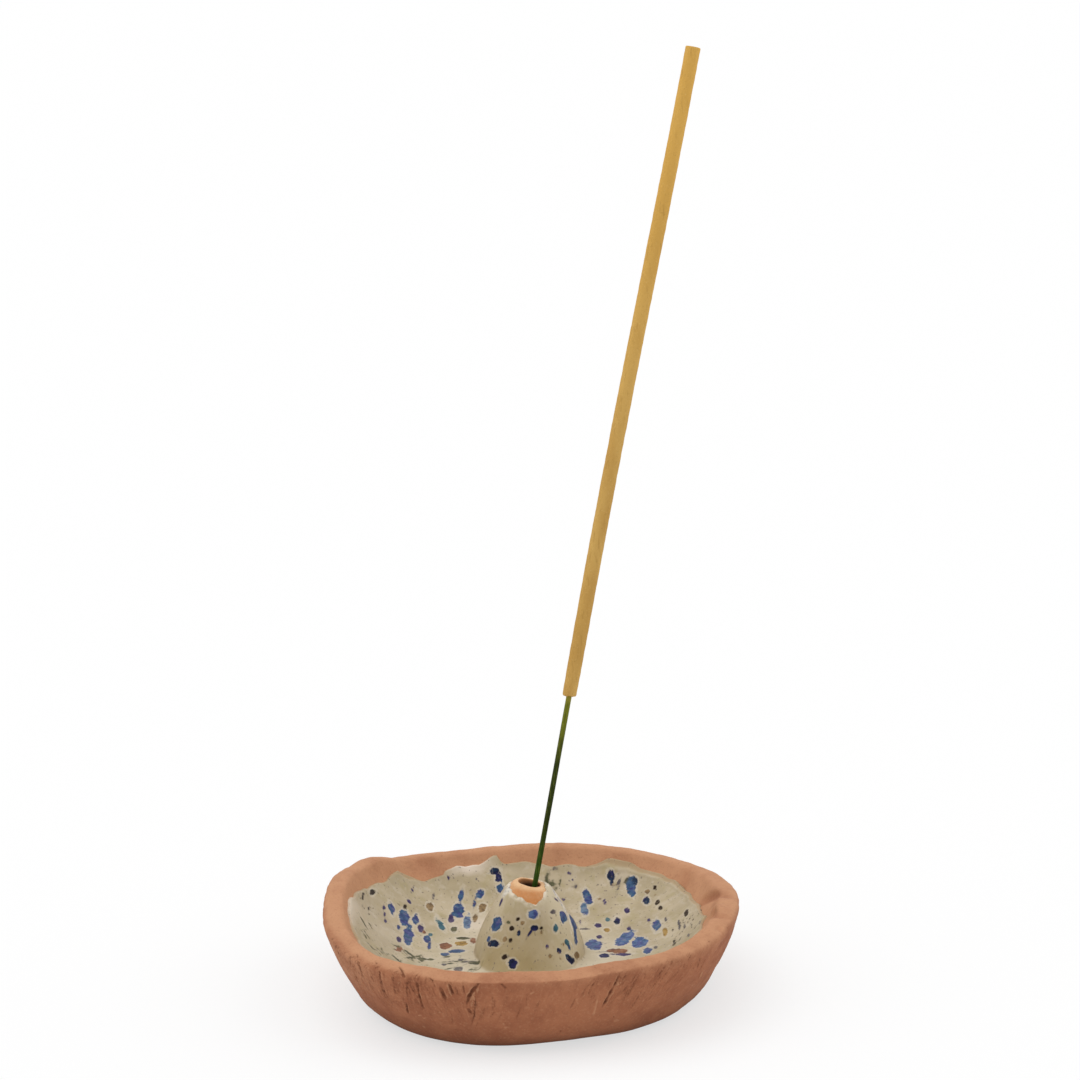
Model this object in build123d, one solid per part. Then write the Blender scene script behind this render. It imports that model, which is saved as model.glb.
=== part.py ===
from build123d import *

import os
from math import cos, hypot, pi, radians, sin, tan

# Incense stick holder: a hand-pinched terracotta dish, glazed inside, with a boss that holds a leaning stick.
# Millimetres and degrees. The origin is on the table under the boss, +Z is up and the dish's front is at -Y.
# Azimuths turn from +X, the right of the dish, through +Y, its back.

# Dish: the flat that it stands on, the pinched lip and the hollow
FOOT_RADIUS = 37.6
FOOT_ROUND = 8.8
FOOT_RISE = 5.6
FOOT_SHIFT_X = 1.2
FOOT_SHIFT_Y = -1.1
RIM_RADIUS = 51.6
RIM_HEIGHT = 23.7
LIP_WIDTH = 5.8
LIP_DEPTH = 2.2
LIP_SQUARENESS = 2.6
LIP_END = 150.0
WALL_BELLY = 0.9
FLOOR_THICKNESS = 8.6
FLOOR_RADIUS = 24.0
HOLLOW_TURN = 62.0

# Waves that the hand leaves in the dish: how far they reach, and the azimuth of a crest
OVAL_REACH = 1.75
OVAL_AZIMUTH = 31.0
SPUR_REACH = 0.55
SPUR_AZIMUTH = 0.0
CORNER_REACH = 1.85
CORNER_AZIMUTH = 47.0
FOOT_OVAL_REACH = 2.5
FOOT_OVAL_AZIMUTH = 224.0
TIP_RISE = 0.7
TIP_AZIMUTH = 209.0
SADDLE_RISE = 1.85
SADDLE_AZIMUTH = 175.0
LOBE_RISE = 0.6
LOBE_AZIMUTH = 74.0
RIPPLE_RISE = 0.8
RIPPLE_AZIMUTH = 82.0
THUMB_RISE = 0.9
THUMB_AZIMUTH = 144.0
THUMB_SPREAD = 11.0

# Boss: a lump of clay on a bed of slip, with a blind hole pierced from above
SLIP_THICKNESS = 0.5
SLIP_MARGIN = 0.8
BOSS_RADIUS = 13.5
BOSS_HEIGHT = 18.4
BOSS_FULLNESS = 1.6
BOSS_CREST_RADIUS = 5.0
BOSS_CREST_ROUND = 1.2
BOSS_OVAL_REACH = 0.35
BOSS_OVAL_AZIMUTH = 20.0
BOSS_TILT = 6.0
BOSS_TILT_AZIMUTH = 0.0
BORE_RADIUS = 2.55
BORE_DEPTH = 16.2
MOUTH_RADIUS = 3.0
MOUTH_DEPTH = 1.2

# Glaze: a coat of even thickness with a pool round the boss. Its ragged upper edges are given all the way
# round from azimuth 0: on the dish as a share of the hollow's side, on the boss as a share of its height.
GLAZE_THICKNESS = 0.6
GLAZE_EDGE_THICKNESS = 0.25
GLAZE_POOL = 0.8
GLAZE_EDGE = (
    0.24, 0.22, 0.17, 0.1, 0.06, 0.08, 0.13, 0.15, 0.13, 0.11, 0.04, 0.1,
    0.1, 0.2, 0.15, 0.08, 0.12, 0.11, 0.12, 0.1, 0.09, 0.1, 0.12, 0.1,
    0.12, 0.1, 0.13, 0.1, 0.1, 0.13, 0.1, 0.12, 0.15, 0.16, 0.19, 0.22,
)
BOSS_EDGE = (0.96, 0.97, 0.97, 0.97, 0.96, 0.95, 0.92, 0.91, 0.88, 0.81, 0.89, 0.95)

# Stick: a bamboo splint with a rolled coat of incense paste, leaning across the hole
CORE_RADIUS = 0.68
COAT_RADIUS = 1.85
COAT_LENGTH = 167.5
COAT_END_ROUND = 0.35
BARE_LENGTH = 65.0
STICK_AZIMUTH = 30.0
STICK_CLEARANCE = 0.3
STICK_FOOT_GAP = 0.4

RING_POINTS = 90


def wave(azimuth, lobes, crest):
    """A wave with that many lobes in a turn, 1 at the crest's azimuth."""
    return cos(radians(lobes * (azimuth - crest)))


def around(values, azimuth):
    """The value at an azimuth of a list that is spaced evenly round the turn."""
    place = azimuth % 360 / 360 * len(values)
    first = int(place) % len(values)
    ease = (1 - cos(pi * (place - int(place)))) / 2
    return values[first] + ease * (values[(first + 1) % len(values)] - values[first])


def ring(place):
    """A closed curve round the axis: place(azimuth) gives each point's radius, height and centre."""
    points = []
    for step in range(RING_POINTS):
        azimuth = 360 * step / RING_POINTS
        radius, height, centre_x, centre_y = place(azimuth)
        out_x, out_y = cos(radians(azimuth)), sin(radians(azimuth))
        points.append((centre_x + radius * out_x, centre_y + radius * out_y, height))
    spacing = [step / RING_POINTS for step in range(RING_POINTS + 1)]
    return Wire([Edge.make_spline(points, periodic=True, parameters=spacing)])


def level(radius, height):
    """A plain circle."""
    return ring(lambda azimuth: (radius, height, 0, 0))


def plan_wave(azimuth):
    """How far the dish's plan stands out from a circle."""
    oval = OVAL_REACH * wave(azimuth, 2, OVAL_AZIMUTH)
    spur = SPUR_REACH * wave(azimuth, 3, SPUR_AZIMUTH)
    return oval + spur + CORNER_REACH * wave(azimuth, 4, CORNER_AZIMUTH)


def crest_radius(azimuth):
    return RIM_RADIUS + plan_wave(azimuth)


def crest_height(azimuth):
    """The height of the lip's crest, with the small hump that a thumb left."""
    tip = TIP_RISE * wave(azimuth, 1, TIP_AZIMUTH)
    saddle = SADDLE_RISE * wave(azimuth, 2, SADDLE_AZIMUTH)
    lobe = LOBE_RISE * wave(azimuth, 3, LOBE_AZIMUTH)
    ripple = RIPPLE_RISE * wave(azimuth, 4, RIPPLE_AZIMUTH)
    off = ((azimuth - THUMB_AZIMUTH + 180) % 360 - 180) / THUMB_SPREAD
    thumb = THUMB_RISE * max(0.0, 1 - off * off) ** 2
    return RIM_HEIGHT + tip + saddle + lobe + ripple + thumb


def foot_radius(azimuth):
    """The edge of the flat that the dish stands on."""
    return FOOT_RADIUS + FOOT_OVAL_REACH * wave(azimuth, 2, FOOT_OVAL_AZIMUTH)


def foot_ring(turn):
    """The rounded edge of the foot, from the flat at turn 0 to the wall at turn 90."""
    def place(azimuth):
        radius = foot_radius(azimuth) + FOOT_ROUND * sin(radians(turn))
        return radius, FOOT_RISE * (1 - cos(radians(turn))), FOOT_SHIFT_X, FOOT_SHIFT_Y
    return ring(place)


def wall_ring(share):
    """The outer wall, from the foot's round at share 0 to the lip at share 1."""
    def place(azimuth):
        low = foot_radius(azimuth) + FOOT_ROUND
        high = crest_radius(azimuth) + LIP_WIDTH / 2
        radius = low + share * (high - low) + WALL_BELLY * sin(pi * share)
        height = FOOT_RISE + share * (crest_height(azimuth) - LIP_DEPTH - FOOT_RISE)
        return radius, height, (1 - share) * FOOT_SHIFT_X, (1 - share) * FOOT_SHIFT_Y
    return ring(place)


def lip_place(azimuth, turn):
    """A point on the lip, from the outer wall at turn 0 over the crest at turn 90 towards the hollow."""
    across = cos(radians(turn))
    side = abs(across) ** (2 / LIP_SQUARENESS) * LIP_WIDTH / 2
    rise = abs(sin(radians(turn))) ** (2 / LIP_SQUARENESS) * LIP_DEPTH
    radius = crest_radius(azimuth) + (side if across > 0 else -side)
    return radius, crest_height(azimuth) - LIP_DEPTH + rise, 0, 0


def lip_ring(share):
    """The lip, from the outer wall at share 0 to the hollow at share 1."""
    return ring(lambda azimuth: lip_place(azimuth, share * LIP_END))


def hollow_place(azimuth, share, coat):
    """A point on the hollow's side, from the floor at share 0 to the lip at share 1, on a coat that thick."""
    lip_radius, lip_height, _, _ = lip_place(azimuth, LIP_END)
    run = (lip_radius - FLOOR_RADIUS) / sin(radians(HOLLOW_TURN))
    rise = (lip_height - FLOOR_THICKNESS) / (1 - cos(radians(HOLLOW_TURN)))
    turn = radians(share * HOLLOW_TURN)
    out, up = run * cos(turn), rise * sin(turn)
    radius = FLOOR_RADIUS + run * sin(turn) - coat * up / hypot(out, up)
    height = FLOOR_THICKNESS + rise * (1 - cos(turn)) + coat * out / hypot(out, up)
    return radius, height, 0, 0


def glazed_ring(share, coat=0.0):
    """The glazed part of the hollow, from the floor's edge at share 0 to the glaze's edge at share 1."""
    return ring(lambda azimuth: hollow_place(azimuth, share * (1 - around(GLAZE_EDGE, azimuth)), coat))


def bare_ring(share):
    """The bare part of the hollow, from the glaze's edge at share 0 to the lip at share 1."""
    return ring(lambda azimuth: hollow_place(azimuth, 1 - (1 - share) * around(GLAZE_EDGE, azimuth), 0.0))


def boss_place(azimuth, share, coat=0.0):
    """A point on the boss's skin, from its base at share 0 to its crest at share 1, on a coat that thick."""
    base = BOSS_RADIUS + BOSS_OVAL_REACH * wave(azimuth, 2, BOSS_OVAL_AZIMUTH)
    slope = (base - BOSS_CREST_RADIUS) * BOSS_FULLNESS * share ** (BOSS_FULLNESS - 1) / BOSS_HEIGHT
    radius = base - (base - BOSS_CREST_RADIUS) * share ** BOSS_FULLNESS + coat / hypot(1, slope)
    height = FLOOR_THICKNESS + SLIP_THICKNESS + share * BOSS_HEIGHT + coat * slope / hypot(1, slope)
    height -= radius * share ** 2 * tan(radians(BOSS_TILT)) * wave(azimuth, 1, BOSS_TILT_AZIMUTH)
    return radius, height, 0, 0


def boss_glazed_ring(share, coat=0.0):
    """The glazed part of the boss, from its base at share 0 to the glaze's edge at share 1."""
    return ring(lambda azimuth: boss_place(azimuth, share * around(BOSS_EDGE, azimuth), coat))


def boss_bare_ring(share):
    """The bare part of the boss's skin, from the glaze's edge at share 0 to the crest at share 1."""
    def place(azimuth):
        edge = around(BOSS_EDGE, azimuth)
        return boss_place(azimuth, edge + share * (1 - edge))
    return ring(place)


def boss_top_ring(turn):
    """The boss's rounded crest, from its skin at turn 0 to its flat top at turn 90."""
    def place(azimuth):
        radius = BOSS_CREST_RADIUS - BOSS_CREST_ROUND * (1 - cos(radians(turn)))
        tilt = radius * tan(radians(BOSS_TILT)) * wave(azimuth, 1, BOSS_TILT_AZIMUTH)
        height = FLOOR_THICKNESS + SLIP_THICKNESS + BOSS_HEIGHT + BOSS_CREST_ROUND * sin(radians(turn)) - tilt
        return radius, height, 0, 0
    return ring(place)


def slip_ring(height):
    """The edge of the bed of slip, a margin inside the boss's base."""
    return ring(lambda azimuth: (boss_place(azimuth, 0)[0] - SLIP_MARGIN, height, 0, 0))


os.makedirs("parts", exist_ok=True)

# Heights that the boss, its hole and the stick share
boss_base = FLOOR_THICKNESS + SLIP_THICKNESS
boss_top = boss_base + BOSS_HEIGHT + BOSS_CREST_ROUND
bore_floor = boss_top - BORE_DEPTH
bore_neck = boss_top - MOUTH_DEPTH

# Rings that the clay and the glaze share
GLAZED_SHARES = (1, 0.85, 0.7, 0.55, 0.4, 0.26, 0.12, 0)
BOSS_SHARES = (0, 0.16, 0.32, 0.5, 0.68, 0.85, 1)
hollow_rings = [glazed_ring(share) for share in GLAZED_SHARES]
boss_rings = [boss_glazed_ring(share) for share in BOSS_SHARES]
slip_low = slip_ring(FLOOR_THICKNESS)
slip_high = slip_ring(boss_base)

# The dish is one skin: up the outside, over the lip and down the hollow to the floor
dish_rings = [foot_ring(turn) for turn in (0, 20, 40, 60, 80)]
dish_rings += [wall_ring(share) for share in (0.1, 0.4, 0.7)]
dish_rings += [lip_ring(share) for share in (0, 0.1, 0.2, 0.3, 0.4, 0.5, 0.6, 0.7, 0.8, 0.9, 1)]
dish_rings += [bare_ring(0.5)] + hollow_rings
clay_dish = Solid.make_loft(dish_rings, ruled=True)

# The boss is a skin up to its crest, with a hole whose mouth is flared
crest_rings = [boss_bare_ring(0.5)] + [boss_top_ring(turn) for turn in (0, 40, 65, 90)]
flare_height = boss_top + BOSS_HEIGHT
flare_radius = MOUTH_RADIUS + (MOUTH_RADIUS - BORE_RADIUS) * BOSS_HEIGHT / MOUTH_DEPTH
hole_corners = [(0, 0, bore_floor), (BORE_RADIUS, 0, bore_floor), (BORE_RADIUS, 0, bore_neck)]
hole_corners += [(flare_radius, 0, flare_height), (0, 0, flare_height)]
hole = revolve(make_face(Polyline(*hole_corners, close=True)), Axis.Z)
clay_boss = Solid.make_loft(boss_rings + crest_rings, ruled=True) - hole

joining_slip = Solid.make_loft([slip_low, slip_high], ruled=True)

# The glaze goes down the hollow, over the floor to the slip, up the boss, and back along its open face
open_top = FLOOR_THICKNESS + GLAZE_THICKNESS
pool_out = BOSS_RADIUS + BOSS_OVAL_REACH + GLAZE_THICKNESS + GLAZE_POOL
boss_open = [boss_glazed_ring(1, GLAZE_EDGE_THICKNESS)]
boss_open += [boss_glazed_ring(share, GLAZE_THICKNESS) for share in BOSS_SHARES[-2:0:-1]]
hollow_open = [glazed_ring(share, GLAZE_THICKNESS) for share in GLAZED_SHARES[:0:-1]]
hollow_open += [glazed_ring(1, GLAZE_EDGE_THICKNESS)]
glaze_rings = hollow_rings + [slip_low, slip_high] + boss_rings
glaze_rings += boss_open + [level(pool_out, open_top)] + hollow_open + [hollow_rings[0]]
glaze_coat = Solid.make_loft(glaze_rings, ruled=True)

# The stick leans from the low side of the hole's floor to the far side of its neck
sway = Vector(cos(radians(STICK_AZIMUTH)), sin(radians(STICK_AZIMUTH)), 0)
room = BORE_RADIUS - CORE_RADIUS - STICK_CLEARANCE
stick_foot = sway * -room + Vector(0, 0, bore_floor + STICK_FOOT_GAP)
stick_neck = sway * room + Vector(0, 0, bore_neck)
stick = Plane(origin=stick_foot, z_dir=(stick_neck - stick_foot).normalized())
STANDING = (Align.CENTER, Align.CENTER, Align.MIN)
bamboo_core = stick * Cylinder(CORE_RADIUS, BARE_LENGTH + COAT_LENGTH, align=STANDING)

# The paste is rolled round the splint and rounded at both ends
roll = Cylinder(COAT_RADIUS, COAT_LENGTH, align=STANDING)
roll = fillet(roll.edges().filter_by(GeomType.CIRCLE), COAT_END_ROUND)
roll -= Cylinder(CORE_RADIUS, COAT_LENGTH, align=STANDING)
incense_coat = stick * Pos(0, 0, BARE_LENGTH) * roll

export_step(clay_dish, "parts/clay_dish.step")
export_step(clay_boss, "parts/clay_boss.step")
export_step(joining_slip, "parts/joining_slip.step")
export_step(glaze_coat, "parts/glaze_coat.step")
export_step(bamboo_core, "parts/bamboo_core.step")
export_step(incense_coat, "parts/incense_coat.step")
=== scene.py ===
import bpy
import numpy as np
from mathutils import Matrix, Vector


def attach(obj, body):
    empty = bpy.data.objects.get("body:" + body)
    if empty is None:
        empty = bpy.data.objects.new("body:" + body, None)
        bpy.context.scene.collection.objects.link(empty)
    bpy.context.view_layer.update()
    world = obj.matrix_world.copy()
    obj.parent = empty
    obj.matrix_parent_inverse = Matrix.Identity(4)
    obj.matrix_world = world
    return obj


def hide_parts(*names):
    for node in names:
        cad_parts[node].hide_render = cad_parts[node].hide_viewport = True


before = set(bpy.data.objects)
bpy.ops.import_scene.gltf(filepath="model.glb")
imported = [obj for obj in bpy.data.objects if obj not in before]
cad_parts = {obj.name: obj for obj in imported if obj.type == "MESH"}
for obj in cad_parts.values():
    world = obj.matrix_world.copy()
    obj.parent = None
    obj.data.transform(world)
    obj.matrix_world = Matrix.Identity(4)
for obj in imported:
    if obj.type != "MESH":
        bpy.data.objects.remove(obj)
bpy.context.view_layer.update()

# The dish: a ball of red earthenware pressed open and pinched up by hand, stood on a flattened foot
# and fired. A trimming tool has dragged at its wall, and a thumb has pressed the front of its lip flat.
# Lengths are millimetres until they reach a mesh. Azimuths turn from +X, the right, through the back.
MM = 0.001
FOOT_RADIUS, FOOT_ROUND, FOOT_RISE = 37.6, 8.8, 5.6
FOOT_CENTRE = np.array((1.2, -1.1))
RIM_RADIUS, RIM_HEIGHT = 51.6, 23.7
LIP_WIDTH, LIP_DEPTH, LIP_SQUARENESS, LIP_END = 5.8, 2.2, 2.6, 150.0
WALL_BELLY = 0.9
FLOOR_HEIGHT, FLOOR_RADIUS, HOLLOW_TURN = 8.6, 24.0, 62.0

# Waves that the hand leaves: how far each reaches, its lobes in a turn, and the azimuth of a crest
FOOT_WAVES = ((2.5, 2, 224),)
PLAN_WAVES = ((1.75, 2, 31), (0.55, 3, 0), (1.85, 4, 47))
RIM_WAVES = ((0.7, 1, 209), (1.85, 2, 175), (0.6, 3, 74), (0.8, 4, 82))
# Humps of the rim between the thumb's presses: azimuth, spread in degrees, rise
PINCHES = ((144, 11, 0.9), (238, 14, 0.5), (296, 18, 0.7), (270, 9, -0.15))
# Where the foot's round is fuller, and where its flat stops short: azimuth, spread, reach
FOOT_FULLNESS = ((232, 26, 1.7), (322, 32, 2.2), (30, 60, 1.0), (140, 60, 1.0))
FOOT_LIFTS = ((280, 30, 3.4),)
# How full the foot's round is everywhere, and how far it follows the edge of the flat
FOOT_FULL, FOOT_FOLLOW = 0.6, 0.6
# The flat that the thumb pressed along the lip: where it starts on the section, its slope and softness
PRESS_START, PRESS_SLOPE, PRESS_SOFTNESS = -1.5, 0.33, 0.12
PRESSES = ((258, 34, 1.0), (287, 26, 0.8), (215, 30, 0.5), (335, 30, 0.4), (60, 45, 0.45), (130, 40, 0.4))

# Marks of the trimming tool: half width, depth, and the places that each runs through,
# as azimuth and how far up the skin (2 to 3 is the wall, 3 to 4 the lip)
GOUGES = (
    (0.42, 0.42, ((222, 3.4), (224, 3.05), (223, 2.8), (217, 2.3))), (0.4, 0.36, ((227, 3.2), (227, 2.8))),
    (0.42, 0.34, ((228.5, 3.45), (231, 3), (229.5, 2.7))), (0.36, 0.22, ((230, 2.7), (227.5, 2.4))),
    (0.4, 0.3, ((217, 3.25), (219, 2.9))), (0.45, 0.6, ((235.5, 3.5), (237.5, 3.2), (238, 3))),
    (0.5, 0.18, ((239, 3), (234, 2.45))), (0.42, 0.5, ((235.5, 2.5), (233.5, 2.25))),
    (0.38, 0.4, ((240, 3.35), (241, 2.95))), (0.42, 0.6, ((241, 3.25), (241, 2.9), (240, 2.45))),
    (0.32, 0.35, ((241.5, 3.45), (242, 2.95))), (0.5, 0.4, ((247, 2.95), (247.5, 2.7))),
    (0.45, 0.6, ((249.5, 3), (250, 2.8))), (0.35, 0.35, ((251, 2.95), (251, 2.8))),
    (0.35, 0.3, ((253, 3), (253, 2.85))), (0.5, 0.65, ((257, 3.1), (255, 2.9), (254, 2.8), (253, 2.65))),
    (0.5, 0.35, ((253, 2.55), (253.5, 2.45))), (0.4, 0.35, ((262.5, 3.1), (264, 2.95))),
    (0.5, 0.6, ((295, 3.05), (290.5, 2.45))), (0.35, 0.3, ((297, 3), (295.5, 2.9))),
    (0.35, 0.25, ((293.5, 3.2), (294, 3.05))), (0.32, 0.25, ((310.5, 3.3), (308, 3), (306.5, 2.8))),
    (0.3, 0.3, ((311, 3.2), (310, 3))), (0.38, 0.42, ((321.5, 2.9), (322.5, 2.7))),
    (0.3, 0.3, ((326, 3.3), (323.5, 3))), (0.4, 0.2, ((282.5, 2.7), (281, 2.5))),
)
# Ridges of clay that it pushed up, in the same terms
RIDGES = (
    (0.5, 0.3, ((256.5, 2.95), (254, 2.6))), (0.4, 0.3, ((249, 3), (249.5, 2.8))),
    (0.5, 0.35, ((296.5, 2.95), (294.5, 2.85))), (0.5, 0.35, ((327, 2.6), (328, 2.4))),
    (0.6, 0.22, ((289, 2.65), (288, 2.3))),
)
# Its short marks: half width, depth or height, run in azimuth and up the skin, and the place of each
TICKS = (0.25, 0.2, (0.5, -0.1), ((313, 2.95), (315, 2.95), (316.5, 2.9), (318, 2.9)))
CHIPS = (0.5, 0.3, (0.4, 0), (
    (246.5, 2.05), (314, 2.05), (336.5, 3.15), (241, 1.85), (278, 2.05), (295, 2.2)))
CRUMBS = (0.45, 0.18, (1.5, 0.05), (
    (237, 2.25), (238, 2.2), (242, 2.35), (244, 2.4), (270, 2.85), (284, 2.7),
    (319, 2.5), (254, 2.75), (235, 2.85), (289, 3.25), (301, 3), (293, 2.55)))


def short_marks(width, depth, run, places):
    """Marks of one size, each drawn out the same way from its place."""
    return tuple((width, depth, (place, tuple(np.add(place, run)))) for place in places)


def waves(azimuth, parts):
    """The sum of some waves round the turn."""
    return sum(reach * np.cos(np.radians(lobes * (azimuth - crest))) for reach, lobes, crest in parts)


def humps(azimuth, parts):
    """The sum of some single humps, each round its own azimuth."""
    total = 0.0
    for centre, spread, rise in parts:
        off = (np.mod(azimuth - centre + 180, 360) - 180) / spread
        total = total + rise * np.maximum(0.0, 1 - off * off) ** 2
    return total


def band(values, stops):
    """0 up to the first stop, 1 between the middle two, and 0 from the last on."""
    return np.interp(values, stops, (0, 1, 1, 0))


def turned(azimuth, radius, height, centre=(0.0, 0.0)):
    """Points at those azimuths, radii and heights."""
    turn = np.radians(azimuth)
    flat = (centre[0] + radius * np.cos(turn), centre[1] + radius * np.sin(turn), height + 0 * turn)
    return np.stack(flat, axis=-1)


def lip(azimuth, turn):
    """Radius and height on the lip, from the wall at turn 0 over the crest towards the hollow."""
    across = np.cos(np.radians(turn))
    side = np.sign(across) * np.abs(across) ** (2 / LIP_SQUARENESS) * LIP_WIDTH / 2
    rise = np.abs(np.sin(np.radians(turn))) ** (2 / LIP_SQUARENESS) * LIP_DEPTH
    proud = rise - (LIP_DEPTH - PRESS_SLOPE * (side - PRESS_START))
    rise = rise - humps(azimuth, PRESSES) * (proud + np.hypot(proud, PRESS_SOFTNESS)) / 2
    crest = RIM_HEIGHT + waves(azimuth, RIM_WAVES) + humps(azimuth, PINCHES)
    return RIM_RADIUS + waves(azimuth, PLAN_WAVES) + side, crest - LIP_DEPTH + rise


def hollow_side(azimuth, share, coat=0.0):
    """Points on the side of the hollow, from the floor at share 0 to the lip at share 1, on a coat."""
    lip_radius, lip_height = lip(azimuth, LIP_END)
    run = (lip_radius - FLOOR_RADIUS) / np.sin(np.radians(HOLLOW_TURN))
    rise = (lip_height - FLOOR_HEIGHT) / (1 - np.cos(np.radians(HOLLOW_TURN)))
    turn = np.radians(share * HOLLOW_TURN)
    out, up = run * np.cos(turn), rise * np.sin(turn)
    radius = FLOOR_RADIUS + run * np.sin(turn) - coat * up / np.hypot(out, up)
    return turned(azimuth, radius, FLOOR_HEIGHT + rise * (1 - np.cos(turn)) + coat * out / np.hypot(out, up))


def staged(along, count):
    """A mask for each of so many stages, of the places that lie in it, and each place's share of its own."""
    stage = np.minimum(np.floor(along), count - 1)
    return [stage == number for number in range(count)], along - stage


def dish_skin(azimuth, up):
    """Points on the dish's skin. up goes over the foot's flat (0 to 1), the foot's round (1 to 2), the wall,
    the lip, the hollow's side and the floor (5 to 6)."""
    stages, share = staged(up, 6)
    foot = FOOT_RADIUS + waves(azimuth, FOOT_WAVES)
    lip_radius, lip_height = lip(azimuth, share * LIP_END)
    low_radius = foot + FOOT_ROUND
    high_radius, high_height = lip(azimuth, 0 * share)
    wall_radius = low_radius + share * (high_radius - low_radius) + WALL_BELLY * np.sin(np.pi * share)
    side = hollow_side(azimuth, 1 - share)
    wall_slope = (high_radius - low_radius + np.pi * WALL_BELLY) / (high_height - FOOT_RISE)
    flat = foot - humps(azimuth, FOOT_LIFTS)
    corner = low_radius - FOOT_RISE * wall_slope + FOOT_FULL + humps(azimuth, FOOT_FULLNESS)
    corner = corner + FOOT_FOLLOW * (flat - foot)
    foot_radius = (1 - share) ** 2 * flat + 2 * share * (1 - share) * corner + share ** 2 * low_radius
    radius = np.select(stages, [
        flat * share, foot_radius, wall_radius, lip_radius,
        np.hypot(side[..., 0], side[..., 1]), FLOOR_RADIUS * (1 - share)])
    height = np.select(stages, [
        0 * share, FOOT_RISE * share ** 2, FOOT_RISE + share * (high_height - FOOT_RISE), lip_height,
        side[..., 2], FLOOR_HEIGHT + 0 * share])
    shift = np.select(stages, [1 + 0 * share, 1 + 0 * share, 1 - share, 0 * share, 0 * share, 0 * share])
    return turned(azimuth, radius, height, (shift * FOOT_CENTRE[0], shift * FOOT_CENTRE[1]))


def vertex_values(mesh, name="co"):
    """The places or the normals of a mesh's vertices."""
    values = np.empty(len(mesh.vertices) * 3)
    mesh.vertices.foreach_get(name, values)
    return values.reshape(-1, 3)


def place_vertices(mesh, points):
    """Moves a mesh's vertices to points in millimetres."""
    mesh.vertices.foreach_set("co", (points * MM).ravel())
    mesh.update()


def mark(mesh, name, values, kind="FLOAT", field="value"):
    """Keeps a number, a place or a colour for each vertex, for the material to read."""
    layer = mesh.attributes.new(name, kind, "POINT")
    layer.data.foreach_set(field, np.ascontiguousarray(values, dtype=np.float32).ravel())


def nearest(points, path):
    """How far each point is from a line through the path's points, and how far along it, 0 to 1."""
    best, along = np.full(len(points), np.inf), np.zeros(len(points))
    for step, (start, end) in enumerate(zip(path[:-1], path[1:])):
        run = end - start
        share = np.clip((points - start) @ run / (run @ run), 0, 1)
        off = np.linalg.norm(points - start - share[:, None] * run, axis=1)
        along = np.where(off < best, (step + share) / (len(path) - 1), along)
        best = np.minimum(off, best)
    return best, along


# The tool chatters: how far apart along a mark, and between which shares of its depth and width
CHATTER, CHATTER_DEPTHS, CHATTER_WIDTHS = 0.9, (0.5, 1.2), (0.55, 1.25)
# How fast a mark fades at its ends and from where, and how square its sides are
FADE, FADE_START, FADE_END, CUT_SQUARENESS = 3.2, 0.12, 1.08, 1.5
# The clay that stands beside a mark: share of its depth, and place and spread in its half widths
SHOULDER_HEIGHT, SHOULDER_PLACE, SHOULDER_SPREAD = 0.3, 1.3, 0.4
MARK_REACH = 3


def groove(off, width):
    """How deep a mark is that far off its middle, as a share of its depth."""
    return np.maximum(0, 1 - (off / width) ** 2) ** CUT_SQUARENESS


def strokes(points, marks, tool_rng):
    """How deep a set of tool marks goes at each point, and how high the clay stands beside them. The tool
    chatters, so a mark's depth and width change every so often along it."""
    deepest, highest = np.zeros(len(points)), np.zeros(len(points))
    for width, depth, places in marks:
        path = dish_skin(*np.array(places, dtype=float).T)
        low, high = path.min(axis=0) - MARK_REACH * width, path.max(axis=0) + MARK_REACH * width
        near = np.flatnonzero(((points > low) & (points < high)).all(axis=1))
        off, along = nearest(points[near], path)
        length = np.linalg.norm(np.diff(path, axis=0), axis=1).sum()
        stops = np.linspace(0, 1, max(2, int(length / CHATTER) + 1))
        bite = np.interp(along, stops, tool_rng.uniform(*CHATTER_DEPTHS, len(stops)))
        width = width * np.interp(along, stops, tool_rng.uniform(*CHATTER_WIDTHS, len(stops)))
        taper = depth * bite * np.minimum(1, FADE * np.minimum(along + FADE_START, FADE_END - along))
        cut = taper * groove(off, width)
        beside = (off / width - SHOULDER_PLACE) / SHOULDER_SPREAD
        shoulder = SHOULDER_HEIGHT * taper * np.exp(-beside ** 2)
        deepest[near] = np.maximum(deepest[near], cut)
        highest[near] = np.maximum(highest[near], shoulder)
    return deepest, highest


def begin_piece(add, name, **sizes):
    """Adds a primitive with nothing else selected, and names it."""
    bpy.ops.object.select_all(action="DESELECT")
    add(**sizes)
    piece = bpy.context.object
    piece.name = piece.data.name = name
    return piece


def begin_ball(name, segments, rings, ups):
    """Adds a ball. Gives it, each vertex's azimuth, and how far up the skin its ring comes to lie."""
    piece = begin_piece(
        bpy.ops.mesh.primitive_uv_sphere_add, name, segments=segments, ring_count=rings[-1], radius=1)
    ball = vertex_values(piece.data)
    latitude = 0.5 + np.arcsin(np.clip(ball[:, 2], -1, 1)) / np.pi
    return piece, np.degrees(np.arctan2(ball[:, 1], ball[:, 0])), np.interp(latitude * rings[-1], rings, ups)


WEIGHT_LEVELS = 8


def weigh(piece, weights, name):
    """Keeps weights from 0 to 1 in a vertex group, for a modifier."""
    group = piece.vertex_groups.new(name=name)
    for level in range(1, WEIGHT_LEVELS + 1):
        chosen = np.flatnonzero(np.round(weights * WEIGHT_LEVELS) == level)
        group.add(chosen.tolist(), level / WEIGHT_LEVELS, "REPLACE")


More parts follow.
